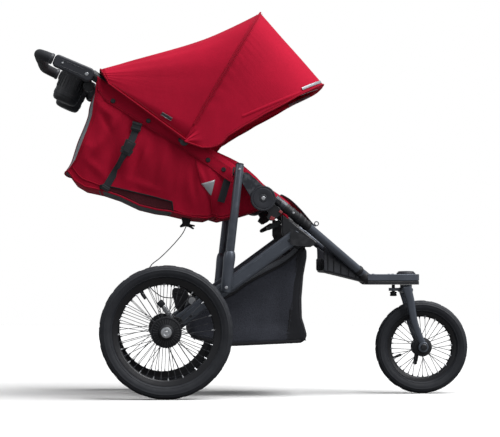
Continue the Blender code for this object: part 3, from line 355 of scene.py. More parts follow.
# ------------------------------------------------------------ materials
class Finish:
    """Builds one node material."""

    def __init__(self, name, colour, roughness, metallic=0.0, **direct):
        self.material = bpy.data.materials.new(name)
        self.material.use_nodes = True
        self.tree = self.material.node_tree
        self.shader = self.tree.nodes["Principled BSDF"]
        self.set(self.shader, "Base Color", (*colour, 1.0))
        self.set(self.shader, "Roughness", roughness)
        self.set(self.shader, "Metallic", metallic)
        for key, value in direct.items():
            self.set(self.shader, key.replace("_", " "), value)
        self.where = self.node("ShaderNodeTexCoord").outputs["Object"]
        self.normal = None
        self.colour = colour
        self.roughness = roughness

    def set(self, node, socket, value):
        node.inputs[socket].default_value = value

    def node(self, kind, **settings):
        made = self.tree.nodes.new(kind)
        for key, value in settings.items():
            setattr(made, key, value)
        return made

    def link(self, source, node, socket):
        self.tree.links.new(source, node.inputs[socket])

    def stretched(self, scale, turn=(0, 0, 0)):
        mapping = self.node("ShaderNodeMapping")
        self.link(self.where, mapping, "Vector")
        self.set(mapping, "Scale", scale)
        self.set(mapping, "Rotation", turn)
        return mapping.outputs["Vector"]

    def noise(self, scale, detail=3.0, vector=None):
        made = self.node("ShaderNodeTexNoise")
        self.link(vector or self.where, made, "Vector")
        self.set(made, "Scale", scale)
        self.set(made, "Detail", detail)
        return made.outputs["Fac"]

    def cells(self, scale, vector=None, feature="F1"):
        made = self.node("ShaderNodeTexVoronoi", feature=feature)
        self.link(vector or self.where, made, "Vector")
        self.set(made, "Scale", scale)
        return made.outputs["Distance"]

    def bands(self, scale, direction, vector=None, distortion=0.0):
        made = self.node("ShaderNodeTexWave", bands_direction=direction)
        self.link(vector or self.where, made, "Vector")
        self.set(made, "Scale", scale)
        self.set(made, "Distortion", distortion)
        return made.outputs["Fac"]

    def maths(self, operation, a, b):
        made = self.node("ShaderNodeMath", operation=operation)
        for socket, value in ((0, a), (1, b)):
            if isinstance(value, (int, float)):
                made.inputs[socket].default_value = value
            else:
                self.tree.links.new(value, made.inputs[socket])
        return made.outputs[0]

    def ramp(self, factor, *stops):
        """Colours or greys along a factor, given as (place, colour)."""
        made = self.node("ShaderNodeValToRGB")
        self.link(factor, made, "Fac")
        elements = made.color_ramp.elements
        while len(elements) < len(stops):
            elements.new(0.5)
        for element, (place, colour) in zip(elements, stops):
            element.position = place
            grey = isinstance(colour, (int, float))
            element.color = (colour, colour, colour, 1.0) if grey else (*colour, 1.0)
        return made.outputs["Color"]

    def mix(self, factor, a, b, mode="MIX"):
        made = self.node("ShaderNodeMix", data_type="RGBA", blend_type=mode)
        sockets = {s.identifier: s for s in made.inputs}
        for key, value in (("Factor_Float", factor), ("A_Color", a), ("B_Color", b)):
            socket = sockets[key]
            if isinstance(value, (int, float)):
                socket.default_value = value
            elif isinstance(value, tuple):
                socket.default_value = (*value, 1.0)
            else:
                self.tree.links.new(value, socket)
        return next(s for s in made.outputs if s.identifier == "Result_Color")

    def paint(self, colour):
        self.link(colour, self.shader, "Base Color")
        return self

    def matt(self, factor, low, high):
        spread = self.node("ShaderNodeMapRange")
        self.link(factor, spread, "Value")
        self.set(spread, "To Min", low)
        self.set(spread, "To Max", high)
        self.link(spread.outputs["Result"], self.shader, "Roughness")
        return self

    def bump(self, height, distance, strength=1.0):
        made = self.node("ShaderNodeBump")
        self.link(height, made, "Height")
        self.set(made, "Distance", distance)
        self.set(made, "Strength", strength)
        if self.normal is not None:
            self.link(self.normal, made, "Normal")
        self.normal = made.outputs["Normal"]
        self.link(self.normal, self.shader, "Normal")
        return self

    def worn(self, base, bright, amount=0.6):
        """Lighter paint where edges have rubbed."""
        point = self.node("ShaderNodeNewGeometry").outputs["Pointiness"]
        edge = self.ramp(point, (0.53, 0.0), (0.60, 1.0))
        patches = self.ramp(self.noise(60.0, 4.0), (0.45, 0.0), (0.65, amount))
        return self.mix(self.maths("MULTIPLY", edge, patches), base, bright)


def shade(colour, share):
    return tuple(c * share for c in colour)


def cloth(name, colour, weave=240.0, depth=0.00022, roughness=0.82, sheen=0.07, spread=0.12):
    """Plain weave with soft creases and a faint change of colour."""
    made = Finish(name, colour, roughness, Sheen_Weight=sheen, Sheen_Roughness=0.45,
                  Specular_IOR_Level=0.12)
    made.set(made.shader, "Sheen Tint", (*[min(1.0, 0.35 + c) for c in colour], 1.0))
    threads = made.maths("ADD", made.bands(weave, "X"), made.bands(weave, "Z"))
    threads = made.maths("ADD", threads, made.bands(weave, "Y"))
    large = made.noise(7.0, 4.0)
    fine = made.noise(900.0, 2.0)
    tone = made.mix(made.ramp(large, (0.3, 0.0), (0.7, 1.0)), shade(colour, 1 - spread),
                    shade(colour, 1 + spread))
    fleck = made.ramp(fine, (0.35, 0.88), (0.65, 1.08))
    made.paint(made.mix(1.0, tone, fleck, "MULTIPLY"))
    made.bump(made.noise(26.0, 5.0, made.stretched((1.0, 1.0, 0.45), (0, 0.35, 0))), 0.0022, 0.5)
    made.bump(threads, depth, 0.35)
    return made.material


def moulded(name, colour, roughness=0.5, grain=1400.0, depth=0.00012, coat=0.0):
    """Moulded plastic: spark-eroded grain, faint marks and rubbed edges."""
    made = Finish(name, colour, roughness, Coat_Weight=coat, Coat_Roughness=0.3,
                  Specular_IOR_Level=0.45)
    tone = made.ramp(made.noise(22.0, 4.0), (0.3, shade(colour, 0.85)), (0.7, shade(colour, 1.2)))
    made.paint(made.worn(tone, tuple(c * 1.6 + 0.03 for c in colour), 0.5))
    made.matt(made.noise(90.0, 4.0), roughness - 0.07, roughness + 0.09)
    made.bump(made.noise(grain, 2.0), depth, 0.5)
    return made.material


def metal(name, colour, roughness, metallic, streak=None, bright=(0.45, 0.47, 0.52), wear=0.6):
    """Painted or bare metal with fine flake, faint marks and rubbed edges."""
    made = Finish(name, colour, roughness, metallic, Coat_Weight=0.12, Coat_Roughness=0.25)
    tone = made.ramp(made.noise(14.0, 5.0), (0.3, shade(colour, 0.88)), (0.7, shade(colour, 1.12)))
    flake = made.ramp(made.noise(2600.0, 1.0), (0.3, 0.9), (0.7, 1.12))
    tone = made.mix(1.0, tone, flake, "MULTIPLY")
    made.paint(made.worn(tone, bright, wear))
    made.matt(made.noise(120.0, 5.0), roughness - 0.06, roughness + 0.1)
    if streak:
        made.bump(made.noise(300.0, 3.0, made.stretched(streak)), 0.00006, 0.5)
    else:
        made.bump(made.noise(900.0, 3.0), 0.00008, 0.4)
    return made.material


def rubber():
    """Tyre rubber with a fine grain and a little dust."""
    made = Finish("tyre_rubber", (0.022, 0.024, 0.030), 0.62, Specular_IOR_Level=0.4)
    dust = made.ramp(made.noise(30.0, 6.0), (0.42, 0.0), (0.75, 0.35))
    made.paint(made.mix(dust, (0.020, 0.022, 0.028), (0.050, 0.053, 0.060)))
    made.matt(made.noise(70.0, 5.0), 0.52, 0.74)
    made.bump(made.noise(700.0, 3.0), 0.00018, 0.5)
    return made.material


def knitted(name, colour, scale=95.0):
    """Open mesh knit: small dark holes in rows."""
    made = Finish(name, colour, 0.8, Sheen_Weight=0.15, Specular_IOR_Level=0.2)
    holes = made.cells(scale * 4.0)
    pattern = made.ramp(holes, (0.12, 0.35), (0.42, 1.0))
    tone = made.ramp(made.noise(9.0, 4.0), (0.3, shade(colour, 0.8)), (0.7, shade(colour, 1.2)))
    made.paint(made.mix(1.0, tone, pattern, "MULTIPLY"))
    made.bump(made.noise(20.0, 4.0, made.stretched((1, 1, 0.5), (0, -0.3, 0))), 0.003, 0.5)
    made.bump(holes, 0.0006, 0.6)
    return made.material


def ribbed(name, colour, direction="Z", scale=95.0):
    """Woven webbing with cross ribs."""
    made = Finish(name, colour, 0.75, Sheen_Weight=0.2, Specular_IOR_Level=0.3)
    ribs = made.bands(scale, direction)
    tone = made.ramp(ribs, (0.1, shade(colour, 0.6)), (0.6, shade(colour, 1.15)))
    fleck = made.ramp(made.noise(800.0, 2.0), (0.3, 0.85), (0.7, 1.1))
    made.paint(made.mix(1.0, tone, fleck, "MULTIPLY"))
    made.bump(ribs, 0.0003, 0.6)
    return made.material


CRIMSON = (0.560, 0.0085, 0.0400)
RED = cloth("crimson_cloth", CRIMSON)
RED_TRIM = cloth("crimson_trim", shade(CRIMSON, 0.72), weave=300.0, sheen=0.15)
RED_NET = knitted("crimson_mesh", (0.085, 0.010, 0.018), 110.0)
LINING = cloth("charcoal_lining", (0.030, 0.031, 0.036), weave=260.0, sheen=0.15)
GREY_NET = knitted("grey_mesh", (0.36, 0.40, 0.44), 100.0)
BASKET = knitted("basket_knit", (0.058, 0.062, 0.080), 90.0)
PALE_NET = knitted("pale_mesh", (0.15, 0.16, 0.18), 100.0)
BINDING = ribbed("black_binding", (0.014, 0.014, 0.018), "X", 150.0)
WEBBING = ribbed("webbing", (0.040, 0.043, 0.052), "Z", 110.0)
THREAD = Finish("thread", (0.16, 0.010, 0.022), 0.7).material
DARK_THREAD = Finish("dark_thread", (0.05, 0.05, 0.06), 0.7).material
TAPE = Finish("reflective_tape", (0.44, 0.46, 0.49), 0.35, 0.35)
TAPE.bump(TAPE.cells(900.0), 0.0002, 0.5)
TAPE.matt(TAPE.noise(60.0), 0.3, 0.5)
TAPE = TAPE.material
GUNMETAL = metal("gunmetal_paint", (0.105, 0.118, 0.145), 0.34, 0.55, bright=(0.30, 0.32, 0.36))
DARK_METAL = metal("dark_paint", (0.040, 0.044, 0.055), 0.38, 0.4, bright=(0.2, 0.21, 0.23))
STEEL = metal("steel", (0.60, 0.61, 0.63), 0.28, 1.0, (1.0, 12.0, 1.0), (0.8, 0.8, 0.8), 0.3)
SILVER = metal("cast_silver", (0.42, 0.43, 0.45), 0.42, 0.75, None, (0.7, 0.7, 0.7), 0.4)
SPOKE = metal("black_wire", (0.055, 0.057, 0.065), 0.34, 0.6, None, (0.3, 0.3, 0.3), 0.3)
RIM_PAINT = metal("rim_paint", (0.016, 0.016, 0.019), 0.30, 0.3, None, (0.12, 0.12, 0.13), 0.4)
BLACK = moulded("black_moulding", (0.017, 0.0175, 0.021), 0.46)
CHARCOAL = moulded("charcoal_moulding", (0.034, 0.036, 0.045), 0.44)
GLOSS = moulded("gloss_black", (0.012, 0.012, 0.015), 0.28, coat=0.3)
FOAM = moulded("grip_foam", (0.024, 0.026, 0.031), 0.78, 700.0, 0.0004)
TYRE = rubber()


# ------------------------------------------------------------ wheels
def tread(count, radius, depth, half):
    """Grooves between the tread's blocks, slanting in from each shoulder."""
    def change(angle, r, y):
        if r < radius - depth * 2.2:
            return r, y
        lean = abs(y) / half
        place = (angle * count / (2 * math.pi) + lean * 0.55 + (0.5 if y < 0 else 0.0)) % 1.0
        side_groove = lean > 0.30 and place < 0.26
        ring_groove = 0.20 < lean < 0.34
        middle = lean <= 0.20 and ((angle * count / (4 * math.pi)) % 1.0) < 0.16
        if side_groove or ring_groove or middle:
            return r - depth, y
        return r, y
    return change


def tyre(name, centre, radius, half, bead, count, body, node):
    """Tyre with sidewall ribs and a blocked tread."""
    depth = radius - bead
    wall = [(bead - 0.0010, half * 0.50), (bead + 0.0005, half * 0.62), (bead + depth * 0.10, half * 0.78),
            (bead + depth * 0.13, half * 0.83), (bead + depth * 0.16, half * 0.82),
            (bead + depth * 0.32, half * 0.95), (bead + depth * 0.46, half * 0.995),
            (bead + depth * 0.58, half * 0.985), (bead + depth * 0.60, half * 1.0),
            (bead + depth * 0.63, half * 0.998), (bead + depth * 0.65, half * 0.965),
            (bead + depth * 0.74, half * 0.91), (bead + depth * 0.78, half * 0.90),
            (bead + depth * 0.82, half * 0.86), (bead + depth * 0.88, half * 0.77),
            (bead + depth * 0.935, half * 0.62), (bead + depth * 0.97, half * 0.42),
            (bead + depth * 0.988, half * 0.27), (bead + depth * 0.995, half * 0.14), (radius, 0.0)]
    profile = wall + [(r, -y) for r, y in reversed(wall[:-1])]
    shape = Shape().turned(profile, centre, count * 4, ring=True,
                           change=tread(count, radius, 0.0024, half))
    piece = shape.make(name, TYRE, body, "tyre", angle=32)
    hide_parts(node)


def rim(name, centre, outer, inner, half, body, node, spokes, side):
    """Deep channel rim with its nipples, steel on one side and dark on the other; the valve is made apart."""
    lip = outer + 0.0015
    profile = [(lip, half * 0.90), (lip, half), (lip - 0.0022, half * 1.04), (lip - 0.0045, half * 0.97),
               (outer - 0.0080, half * 0.82), (inner + 0.0070, half * 0.62), (inner + 0.0030, half * 0.52),
               (inner + 0.0008, half * 0.34), (inner, 0.0)]
    profile = profile + [(r, -y) for r, y in reversed(profile[:-1])]
    shape = Shape().turned(profile, centre, 120, ring=True)
    for k in range(spokes):
        angle = 2 * math.pi * (k + 0.15) / spokes
        out = Vector((math.cos(angle), 0, math.sin(angle)))
        for slot, y, turn in ((1, side * 0.0035, 0.0), (2, -side * 0.0035, 0.5)):
            angle = 2 * math.pi * (k + 0.15 + turn) / spokes
            out = Vector((math.cos(angle), 0, math.sin(angle)))
            foot = centre + out * (inner + 0.0035) + Y_AXIS * y
            shape.tube([foot, foot - out * 0.0045, foot - out * 0.0050, foot - out * 0.0095],
                       [0.0031, 0.0029, 0.0021, 0.0017], 8, slot)
    piece = shape.make(name, [RIM_PAINT, STEEL, DARK_METAL], body, "rim_black", angle=40)
    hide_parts(node)


def valve(name, centre, inner, angle, body, length=0.026):
    """Rubber valve stem with its cap."""
    out = Vector((math.cos(angle), 0, math.sin(angle)))
    foot = centre + out * (inner + 0.003)
    path = [foot - out * reach for reach in (0, 0.004, 0.005, 0.012, 0.0125, 0.0135, length - 0.002,
                                                    length)]
    shape = Shape().tube(path, [0.0048, 0.0046, 0.0036, 0.0032, 0.0042, 0.0043, 0.0040, 0.0026], 12)
    shape.make(name, BLACK, body, "black_plastic")


def spokes(shape, centre, inner, count, flanges, lean, radius=0.00095, slot=1):
    """Wire spokes from two flanges to the rim, every other one leaning back."""
    for reach, y, turn in flanges:
        for k in range(count):
            angle = 2 * math.pi * (k + 0.15 + turn) / count
            sway = lean * (1 if k % 2 else -1)
            a = angle + sway
            start = centre + Vector((reach * math.cos(a), y, reach * math.sin(a)))
            end = centre + Vector((inner * math.cos(angle), math.copysign(0.0032, y), inner * math.sin(angle)))
            bend = start.lerp(end, 0.03) + Y_AXIS * math.copysign(0.0012, y)
            shape.tube([start, bend, start.lerp(end, 0.5), end], radius, 6, slot)


REAR_WHEEL_R = 0.200
REAR_WHEEL_Y = 0.285


def rear_wheel(side_name, side):
    body = f"rear_wheel_{side_name}"
    centre = at(0, side * REAR_WHEEL_Y, REAR_WHEEL_R)
    tyre(f"rear_tyre_rubber_{side_name}", centre, REAR_WHEEL_R, 0.0235, 0.1615, 46, body, f"rear_tyre_{side_name}")
    rim(f"rear_rim_shell_{side_name}", centre, 0.1615, 0.1415, 0.0125, body, f"rear_rim_{side_name}", 20, side)
    valve(f"rear_valve_{side_name}", centre, 0.1415, math.radians(122), body, 0.028)
    profile = [(0.0064, -0.0550), (0.0128, -0.0550), (0.0140, -0.0538), (0.0140, -0.0262), (0.0290, -0.0245),
               (0.0300, -0.0235), (0.0300, -0.0192), (0.0285, -0.0184), (0.0165, -0.0160), (0.0160, 0.0015),
               (0.0440, 0.0035), (0.0462, 0.0044), (0.0465, 0.0060), (0.0465, 0.0115), (0.0452, 0.0130),
               (0.0420, 0.0134), (0.0405, 0.0118), (0.0240, 0.0150), (0.0225, 0.0170), (0.0205, 0.0212),
               (0.0192, 0.0220), (0.0190, 0.0310), (0.0182, 0.0319), (0.0172, 0.0319), (0.0168, 0.0300),
               (0.0168, 0.0275), (0.0064, 0.0275)]
    shape = Shape().turned([(r, side * y) for r, y in profile], centre, 72)
    for k in range(30):
        angle = 2 * math.pi * k / 30
        out = Vector((math.cos(angle), 0, math.sin(angle)))
        rib = [(0.0255, 0.0162), (0.0330, 0.0152), (0.0400, 0.0142)]
        path = [centre + out * r + Y_AXIS * (side * y) for r, y in rib]
        shape.tube(path, [0.0009, 0.0013, 0.0016], 6)
    for k in range(30):
        angle = 2 * math.pi * (k + 0.5) / 30
        out = Vector((math.cos(angle), 0, math.sin(angle)))
        path = [centre + out * 0.0462 + Y_AXIS * (side * y) for y in (0.0042, 0.0060, 0.0100, 0.0128)]
        shape.tube(path, [0.0006, 0.0017, 0.0017, 0.0006], 6)
    spokes(shape, centre, 0.1400, 20, ((0.0435, side * 0.0080, 0.0), (0.0270, -side * 0.0215, 0.5)),
           math.radians(11))
    hub = shape.make(f"rear_hub_body_{side_name}", [BLACK, SPOKE], body, "black_plastic", angle=30)
    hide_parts(f"rear_hub_{side_name}")
    cap = [(0, 0.0290), (0.0164, 0.0290), (0.0164, 0.0335), (0.0155, 0.0347), (0.0120, 0.0355), (0.0095, 0.0357),
           (0.0088, 0.0346), (0.0050, 0.0344), (0.0040, 0.0352), (0, 0.0354)]
    button = Shape().turned([(r, side * y) for r, y in cap], centre, 40)
    button = button.make(f"axle_cap_{side_name}", STEEL, f"wheel_release_{side_name}", "steel", angle=25)
    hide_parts(f"axle_button_{side_name}")


def front_wheel():
    body = "front_wheel"
    tyre("front_tyre_rubber", FRONT_AXLE, 0.146, 0.0225, 0.1095, 36, body, "front_tyre")
    rim("front_rim_shell", FRONT_AXLE, 0.1095, 0.0945, 0.0115, body, "front_rim", 18, -1)
    valve("front_valve", FRONT_AXLE, 0.0945, math.radians(201), body, 0.030)
    profile = [(0.0064, -0.0368), (0.0118, -0.0368), (0.0130, -0.0350), (0.0150, -0.0305), (0.0290, -0.0268),
               (0.0300, -0.0255), (0.0300, -0.0228), (0.0285, -0.0214), (0.0140, -0.0180), (0.0128, 0.0)]
    profile = profile + [(r, -y) for r, y in reversed(profile[:-1])]
    shape = Shape().turned(profile, FRONT_AXLE, 48)
    for side in (-1, 1):
        for k in range(9):
            angle = 2 * math.pi * k / 9
            spot = FRONT_AXLE + Vector((0.0255 * math.cos(angle), side * 0.0272, 0.0255 * math.sin(angle)))
            shape.tube([spot, spot + Y_AXIS * (side * 0.0012)], [0.0022, 0.0016], 8)
    spokes(shape, FRONT_AXLE, 0.0930, 18, ((0.0270, -0.0235, 0.0), (0.0270, 0.0235, 0.5)), math.radians(14))
    hub = shape.make("front_hub_body", [BLACK, SPOKE], body, "black_plastic", angle=30)
    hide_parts("front_hub")


for name, sign in SIDES:
    rear_wheel(name, sign)
front_wheel()


def paint(material, slot, *names, bevel=0.0, segments=2):
    """A carried-over CAD node gets its finish and softened edges."""
    for name in names:
        thing = nodes[name]
        thing.data.materials.clear()
        thing.data.materials.append(material)
        thing.data.shade_smooth()
        thing.data.set_sharp_from_angle(angle=math.radians(35))
        if bevel:
            soften(thing, bevel, segments)


def screw_head(shape, spot, side, radius=0.0050, slot=0):
    """Domed screw on a side face."""
    profile = [(0, -0.0010), (radius, -0.0010), (radius, 0.0004), (radius * 0.86, 0.0013),
               (radius * 0.50, 0.0018), (radius * 0.46, 0.0006), (0, 0.0006)]
    shape.turned([(r, side * y) for r, y in profile], spot, 20, slot)


def main_tubes():
    for side_name, side in SIDES:
        shape = Shape()
        bend = lower_line(0.098, 0, side * TUBE_Y)
        nose = at(0.630, side * 0.052, bend.z - (0.630 + ORIGIN.x - bend.x) * math.tan(LOWER_SLOPE))
        run = rounded([lower_line(0.040, 0, side * TUBE_Y), bend, nose], 0.08, 8)
        dense = resample(run, 90)
        length = sum((b - a).length for a, b in zip(dense, dense[1:]))

        def part(a, b, radius, slot, ends=True):
            first, last = int(89 * a / length), int(89 * b / length)
            path = dense[first:last + 1]
            sizes = [radius] * len(path)
            if ends:
                sizes[0] = sizes[-1] = radius - 0.0012
            shape.tube(path, sizes, 24, slot)

        part(0.0, length - 0.004, TUBE_R + 0.0001, 0, ends=False)
        part(0.026, 0.135, TUBE_R + 0.0014, 1)
        for reach in (0.036, 0.052, 0.068, 0.104, 0.120):
            part(reach, reach + 0.0075, TUBE_R + 0.0028, 1)
        part(0.080, 0.098, TUBE_R + 0.0038, 1)
        part(length - 0.045, length - 0.030, TUBE_R + 0.0022, 1)
        piece = shape.make(f"main_tube_{side_name}_finished", [GUNMETAL, BLACK], "front_frame", "gunmetal",
                           angle=40)
        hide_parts(f"main_tube_{side_name}")
        detail = Shape()
        for reach in (0.100, 0.146):
            spot = lower_line(reach, 0.002, side * (TUBE_Y + TUBE_R + 0.0010))
            if reach > 0.11:
                spot.y = side * (TUBE_Y - 0.008)
            screw_head(detail, spot, side, 0.0040)
        detail.make(f"tube_screws_{side_name}", STEEL, "front_frame", "steel")


def hinges():
    for side_name, side in SIDES:
        paint(GUNMETAL, "gunmetal", f"upper_tube_{side_name}")
        paint(DARK_METAL, "gunmetal", f"lower_hinge_{side_name}", bevel=0.0012)
        paint(DARK_METAL, "gunmetal", f"upper_hinge_{side_name}", bevel=0.0018, segments=3)
        cover = Shape()
        high = 0.2307
        profile = [(0.0375, high - 0.0055), (0.0382, high - 0.0050), (0.0382, high - 0.0012),
                   (0.0368, high + 0.0004), (0.0335, high + 0.0006), (0.0325, high - 0.0002),
                   (0.0312, high - 0.0002), (0.0300, high + 0.0010), (0.0150, high + 0.0016),
                   (0.0128, high + 0.0008), (0.0118, high + 0.0008), (0.0105, high + 0.0018), (0, high + 0.0020)]
        cover.turned([(r, side * y) for r, y in profile], Vector((HINGE_POINT.x, 0, HINGE_POINT.z)), 64)
        cover.make(f"hinge_cover_{side_name}", CHARCOAL, "front_frame", "charcoal_plastic", angle=25)
        rivet = Shape()
        profile = [(0, 0.2322), (0.0062, 0.2322), (0.0062, 0.2336), (0.0052, 0.2346), (0.0028, 0.2350),
                   (0.0024, 0.2338), (0, 0.2338)]
        rivet.turned([(r, side * y) for r, y in profile], Vector((HINGE_POINT.x, 0, HINGE_POINT.z)), 28)
        rivet.make(f"hinge_rivet_{side_name}", STEEL, "front_frame", "steel", angle=25)
        block = Shape()
        low, high = sorted((side * 0.1985, side * 0.2140))
        outline = [(0.3000, 0.5780), (0.3120, 0.5590), (0.3050, 0.5460), (0.3190, 0.5350), (0.3350, 0.5420),
                   (0.3480, 0.5530), (0.3560, 0.5600), (0.3440, 0.5760), (0.3240, 0.5900)]
        block.slab([(x + ORIGIN.x, z) for x, z in outline], low, high)
        low, high = sorted((side * 0.2060, side * 0.2190))
        outline = [(0.3330, 0.5900), (0.3430, 0.5830), (0.3520, 0.5930), (0.3420, 0.6010)]
        block.slab([(x + ORIGIN.x, z) for x, z in outline], low, high)
        block.make(f"fold_catch_{side_name}", BLACK, "front_frame", "black_plastic", bevel=0.0018, segments=3)
        tab = Shape()
        low, high = sorted((side * 0.2125, side * 0.2165))
        outline = [(0.3130, 0.5400), (0.3260, 0.5360), (0.3310, 0.5450), (0.3180, 0.5500)]
        tab.slab([(x + ORIGIN.x, z) for x, z in outline], low, high)
        outline = [(0.3410, 0.5620), (0.3500, 0.5560), (0.3550, 0.5620), (0.3460, 0.5690)]
        tab.slab([(x + ORIGIN.x, z) for x, z in outline], low, high)
        tab.make(f"catch_tab_{side_name}", TAB, "front_frame", "crimson_fabric", bevel=0.001)


def platform():
    """Flat nose: painted upper shell, black lower moulding and the swivel's cap."""
    shape = Shape()
    rear, front, nose = 0.070, 0.040, 0.762

    def outline(grow, rear_x):
        points = [(rear_x, -rear - grow), (0.690, -rear * 0.86 - grow)]
        for k in range(19):
            angle = math.radians(-80 + 160 * k / 18)
            points.append((nose + (front + grow) * math.cos(angle), (front + grow) * math.sin(angle)))
        return points + [(0.690, rear * 0.86 + grow), (rear_x, rear + grow)]

    lay = Matrix(((1, 0, 0, ORIGIN.x), (0, 0, 1, 0), (0, 1, 0, 0), (0, 0, 0, 1)))
    shape.slab(outline(-0.0004, 0.6305), PLATFORM_TOP - 0.0205, PLATFORM_TOP - 0.0002, 0, lay)
    shape.slab(outline(-0.0024, 0.6330), PLATFORM_TOP - 0.0225, PLATFORM_TOP - 0.0200, 1, lay)
    shape.slab(outline(-0.0008, 0.6305), PLATFORM_TOP - 0.0330, PLATFORM_TOP - 0.0222, 1, lay)
    piece = shape.make("nose_platform", [GUNMETAL, BLACK], "front_frame", "gunmetal", bevel=0.0050, segments=4)
    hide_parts("front_platform")
    cap = Shape()
    profile = [(0.0300, -0.0015), (0.0300, 0.0015), (0.0290, 0.0040), (0.0275, 0.0052), (0.0262, 0.0052),
               (0.0255, 0.0075), (0.0225, 0.0092), (0.0120, 0.0098), (0, 0.0100)]
    cap.turned(profile, at(0.760, 0, PLATFORM_TOP), 56, axis=Z_AXIS)
    cap.make("swivel_cap", CHARCOAL, "front_frame", "charcoal_plastic", angle=25)
    cups = Shape()
    for _, side in SIDES:
        end = at(0.6335, side * 0.0505, PLATFORM_TOP - 0.0165)
        inward = Vector((LOWER_DIR.x, -side * 0.30, LOWER_DIR.z)).normalized()
        cups.tube([end - inward * 0.030, end - inward * 0.028, end + inward * 0.004], [0.0150, 0.0165, 0.0165], 24)
    cups.make("nose_cups", BLACK, "front_frame", "black_plastic")
    screws = Shape()
    for x, y in ((0.650, 0.052), (0.650, -0.052), (0.712, 0.046), (0.712, -0.046)):
        profile = [(0, -0.001), (0.0045, -0.001), (0.0045, 0.0006), (0.0036, 0.0014), (0.0020, 0.0016),
                   (0.0018, 0.0004), (0, 0.0004)]
        screws.turned(profile, at(x, y, PLATFORM_TOP), 18, axis=Z_AXIS)
    screws.make("nose_screws", STEEL, "front_frame", "steel")


def footrest():
    """Ribbed tray between the main tubes."""
    def half(x, inset=0.0):
        return 0.112 + (0.055 - 0.112) * (x - 0.489) / 0.135 - inset

    stations = [0.490, 0.496, 0.511, 0.545, 0.580, 0.612, 0.624]
    floor = [0.3815, 0.3790, 0.3775, 0.3690, 0.3600, 0.3515, 0.3480]
    wall_top = [0.4600, 0.4570, 0.4460, 0.4210, 0.3930, 0.3670, 0.3570]
    shape = Shape()
    rows = []
    for x, low, high in zip(stations, floor, wall_top):
        h = half(x)
        rows.append([at(x, -h, high), at(x, -h, low + 0.006), at(x, -h + 0.005, low + 0.0005),
                     at(x, -h * 0.5, low), at(x, 0, low), at(x, h * 0.5, low), at(x, h - 0.005, low + 0.0005),
                     at(x, h, low + 0.006), at(x, h, high)])
    shape.grid(rows)
    low_edge = rows[0][1:-1]
    heights = [0.4560] + [0.4180] * (len(low_edge) - 2) + [0.4560]
    shape.grid([[Vector((p.x, p.y, z)) for p, z in zip(low_edge, heights)], low_edge])
    piece = shape.make("footrest_tray", CHARCOAL, "front_frame", "charcoal_plastic", solid=0.0042, offset=-1.0,
                       bevel=0.0010)
    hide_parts("footrest")
    ribs = Shape()
    for k in range(7):
        x = 0.512 + 0.0155 * k
        z = 0.3775 - (x - 0.511) * 0.261 + 0.0045
        h = half(x, 0.012)
        ribs.tube([at(x, -h, z), at(x, -h + 0.004, z + 0.0016), at(x, h - 0.004, z + 0.0016), at(x, h, z)],
                  [0.0012, 0.0022, 0.0022, 0.0012], 8)
    for k in range(9):
        y = -0.088 + 0.022 * k
        ribs.tube([at(0.4872, y, 0.386), at(0.4865, y, 0.390), at(0.4865, y, 0.420), at(0.4872, y, 0.424)],
                  [0.001, 0.0022, 0.0022, 0.001], 8)
    for _, side in SIDES:
        for x, low, high in ((0.503, 0.386, 0.438), (0.522, 0.381, 0.424), (0.545, 0.376, 0.408),
                             (0.570, 0.369, 0.390), (0.594, 0.363, 0.373)):
            y = side * (half(x) + 0.0006)
            ribs.tube([at(x, y, low), at(x, y, low + 0.003), at(x, y, high - 0.003), at(x, y, high)],
                      [0.001, 0.0020, 0.0020, 0.001], 8)
    ribs.make("footrest_ribs", BLACK, "front_frame", "black_plastic")


def frame_bits():
    paint(BLACK, "black_plastic", "arm_bracket_right", "arm_bracket_left", "fold_latch", bevel=0.0015)
    paint(DARK_METAL, "gunmetal", "frame_crossbar")
    for side_name, side in SIDES:
        ring = Shape()
        centre = at(0.4640, side * 0.140, 0.5290)
        loop = [centre + Vector((0.0062 * math.cos(a), side * 0.002 * math.sin(a), 0.0062 * math.sin(a)))
                for a in [2 * math.pi * k / 20 for k in range(20)]]
        ring.tube(loop, 0.0016, 8, closed=True)
        ring.tube([centre + Vector((-0.010, 0, -0.003)), centre + Vector((-0.001, 0, -0.0065))], 0.0036, 8)
        ring.make(f"leg_ring_{side_name}", DARK_METAL, "front_frame", "steel")


TAB = moulded("dull_red_moulding", (0.36, 0.05, 0.06), 0.5)
main_tubes()
hinges()
platform()
footrest()
frame_bits()


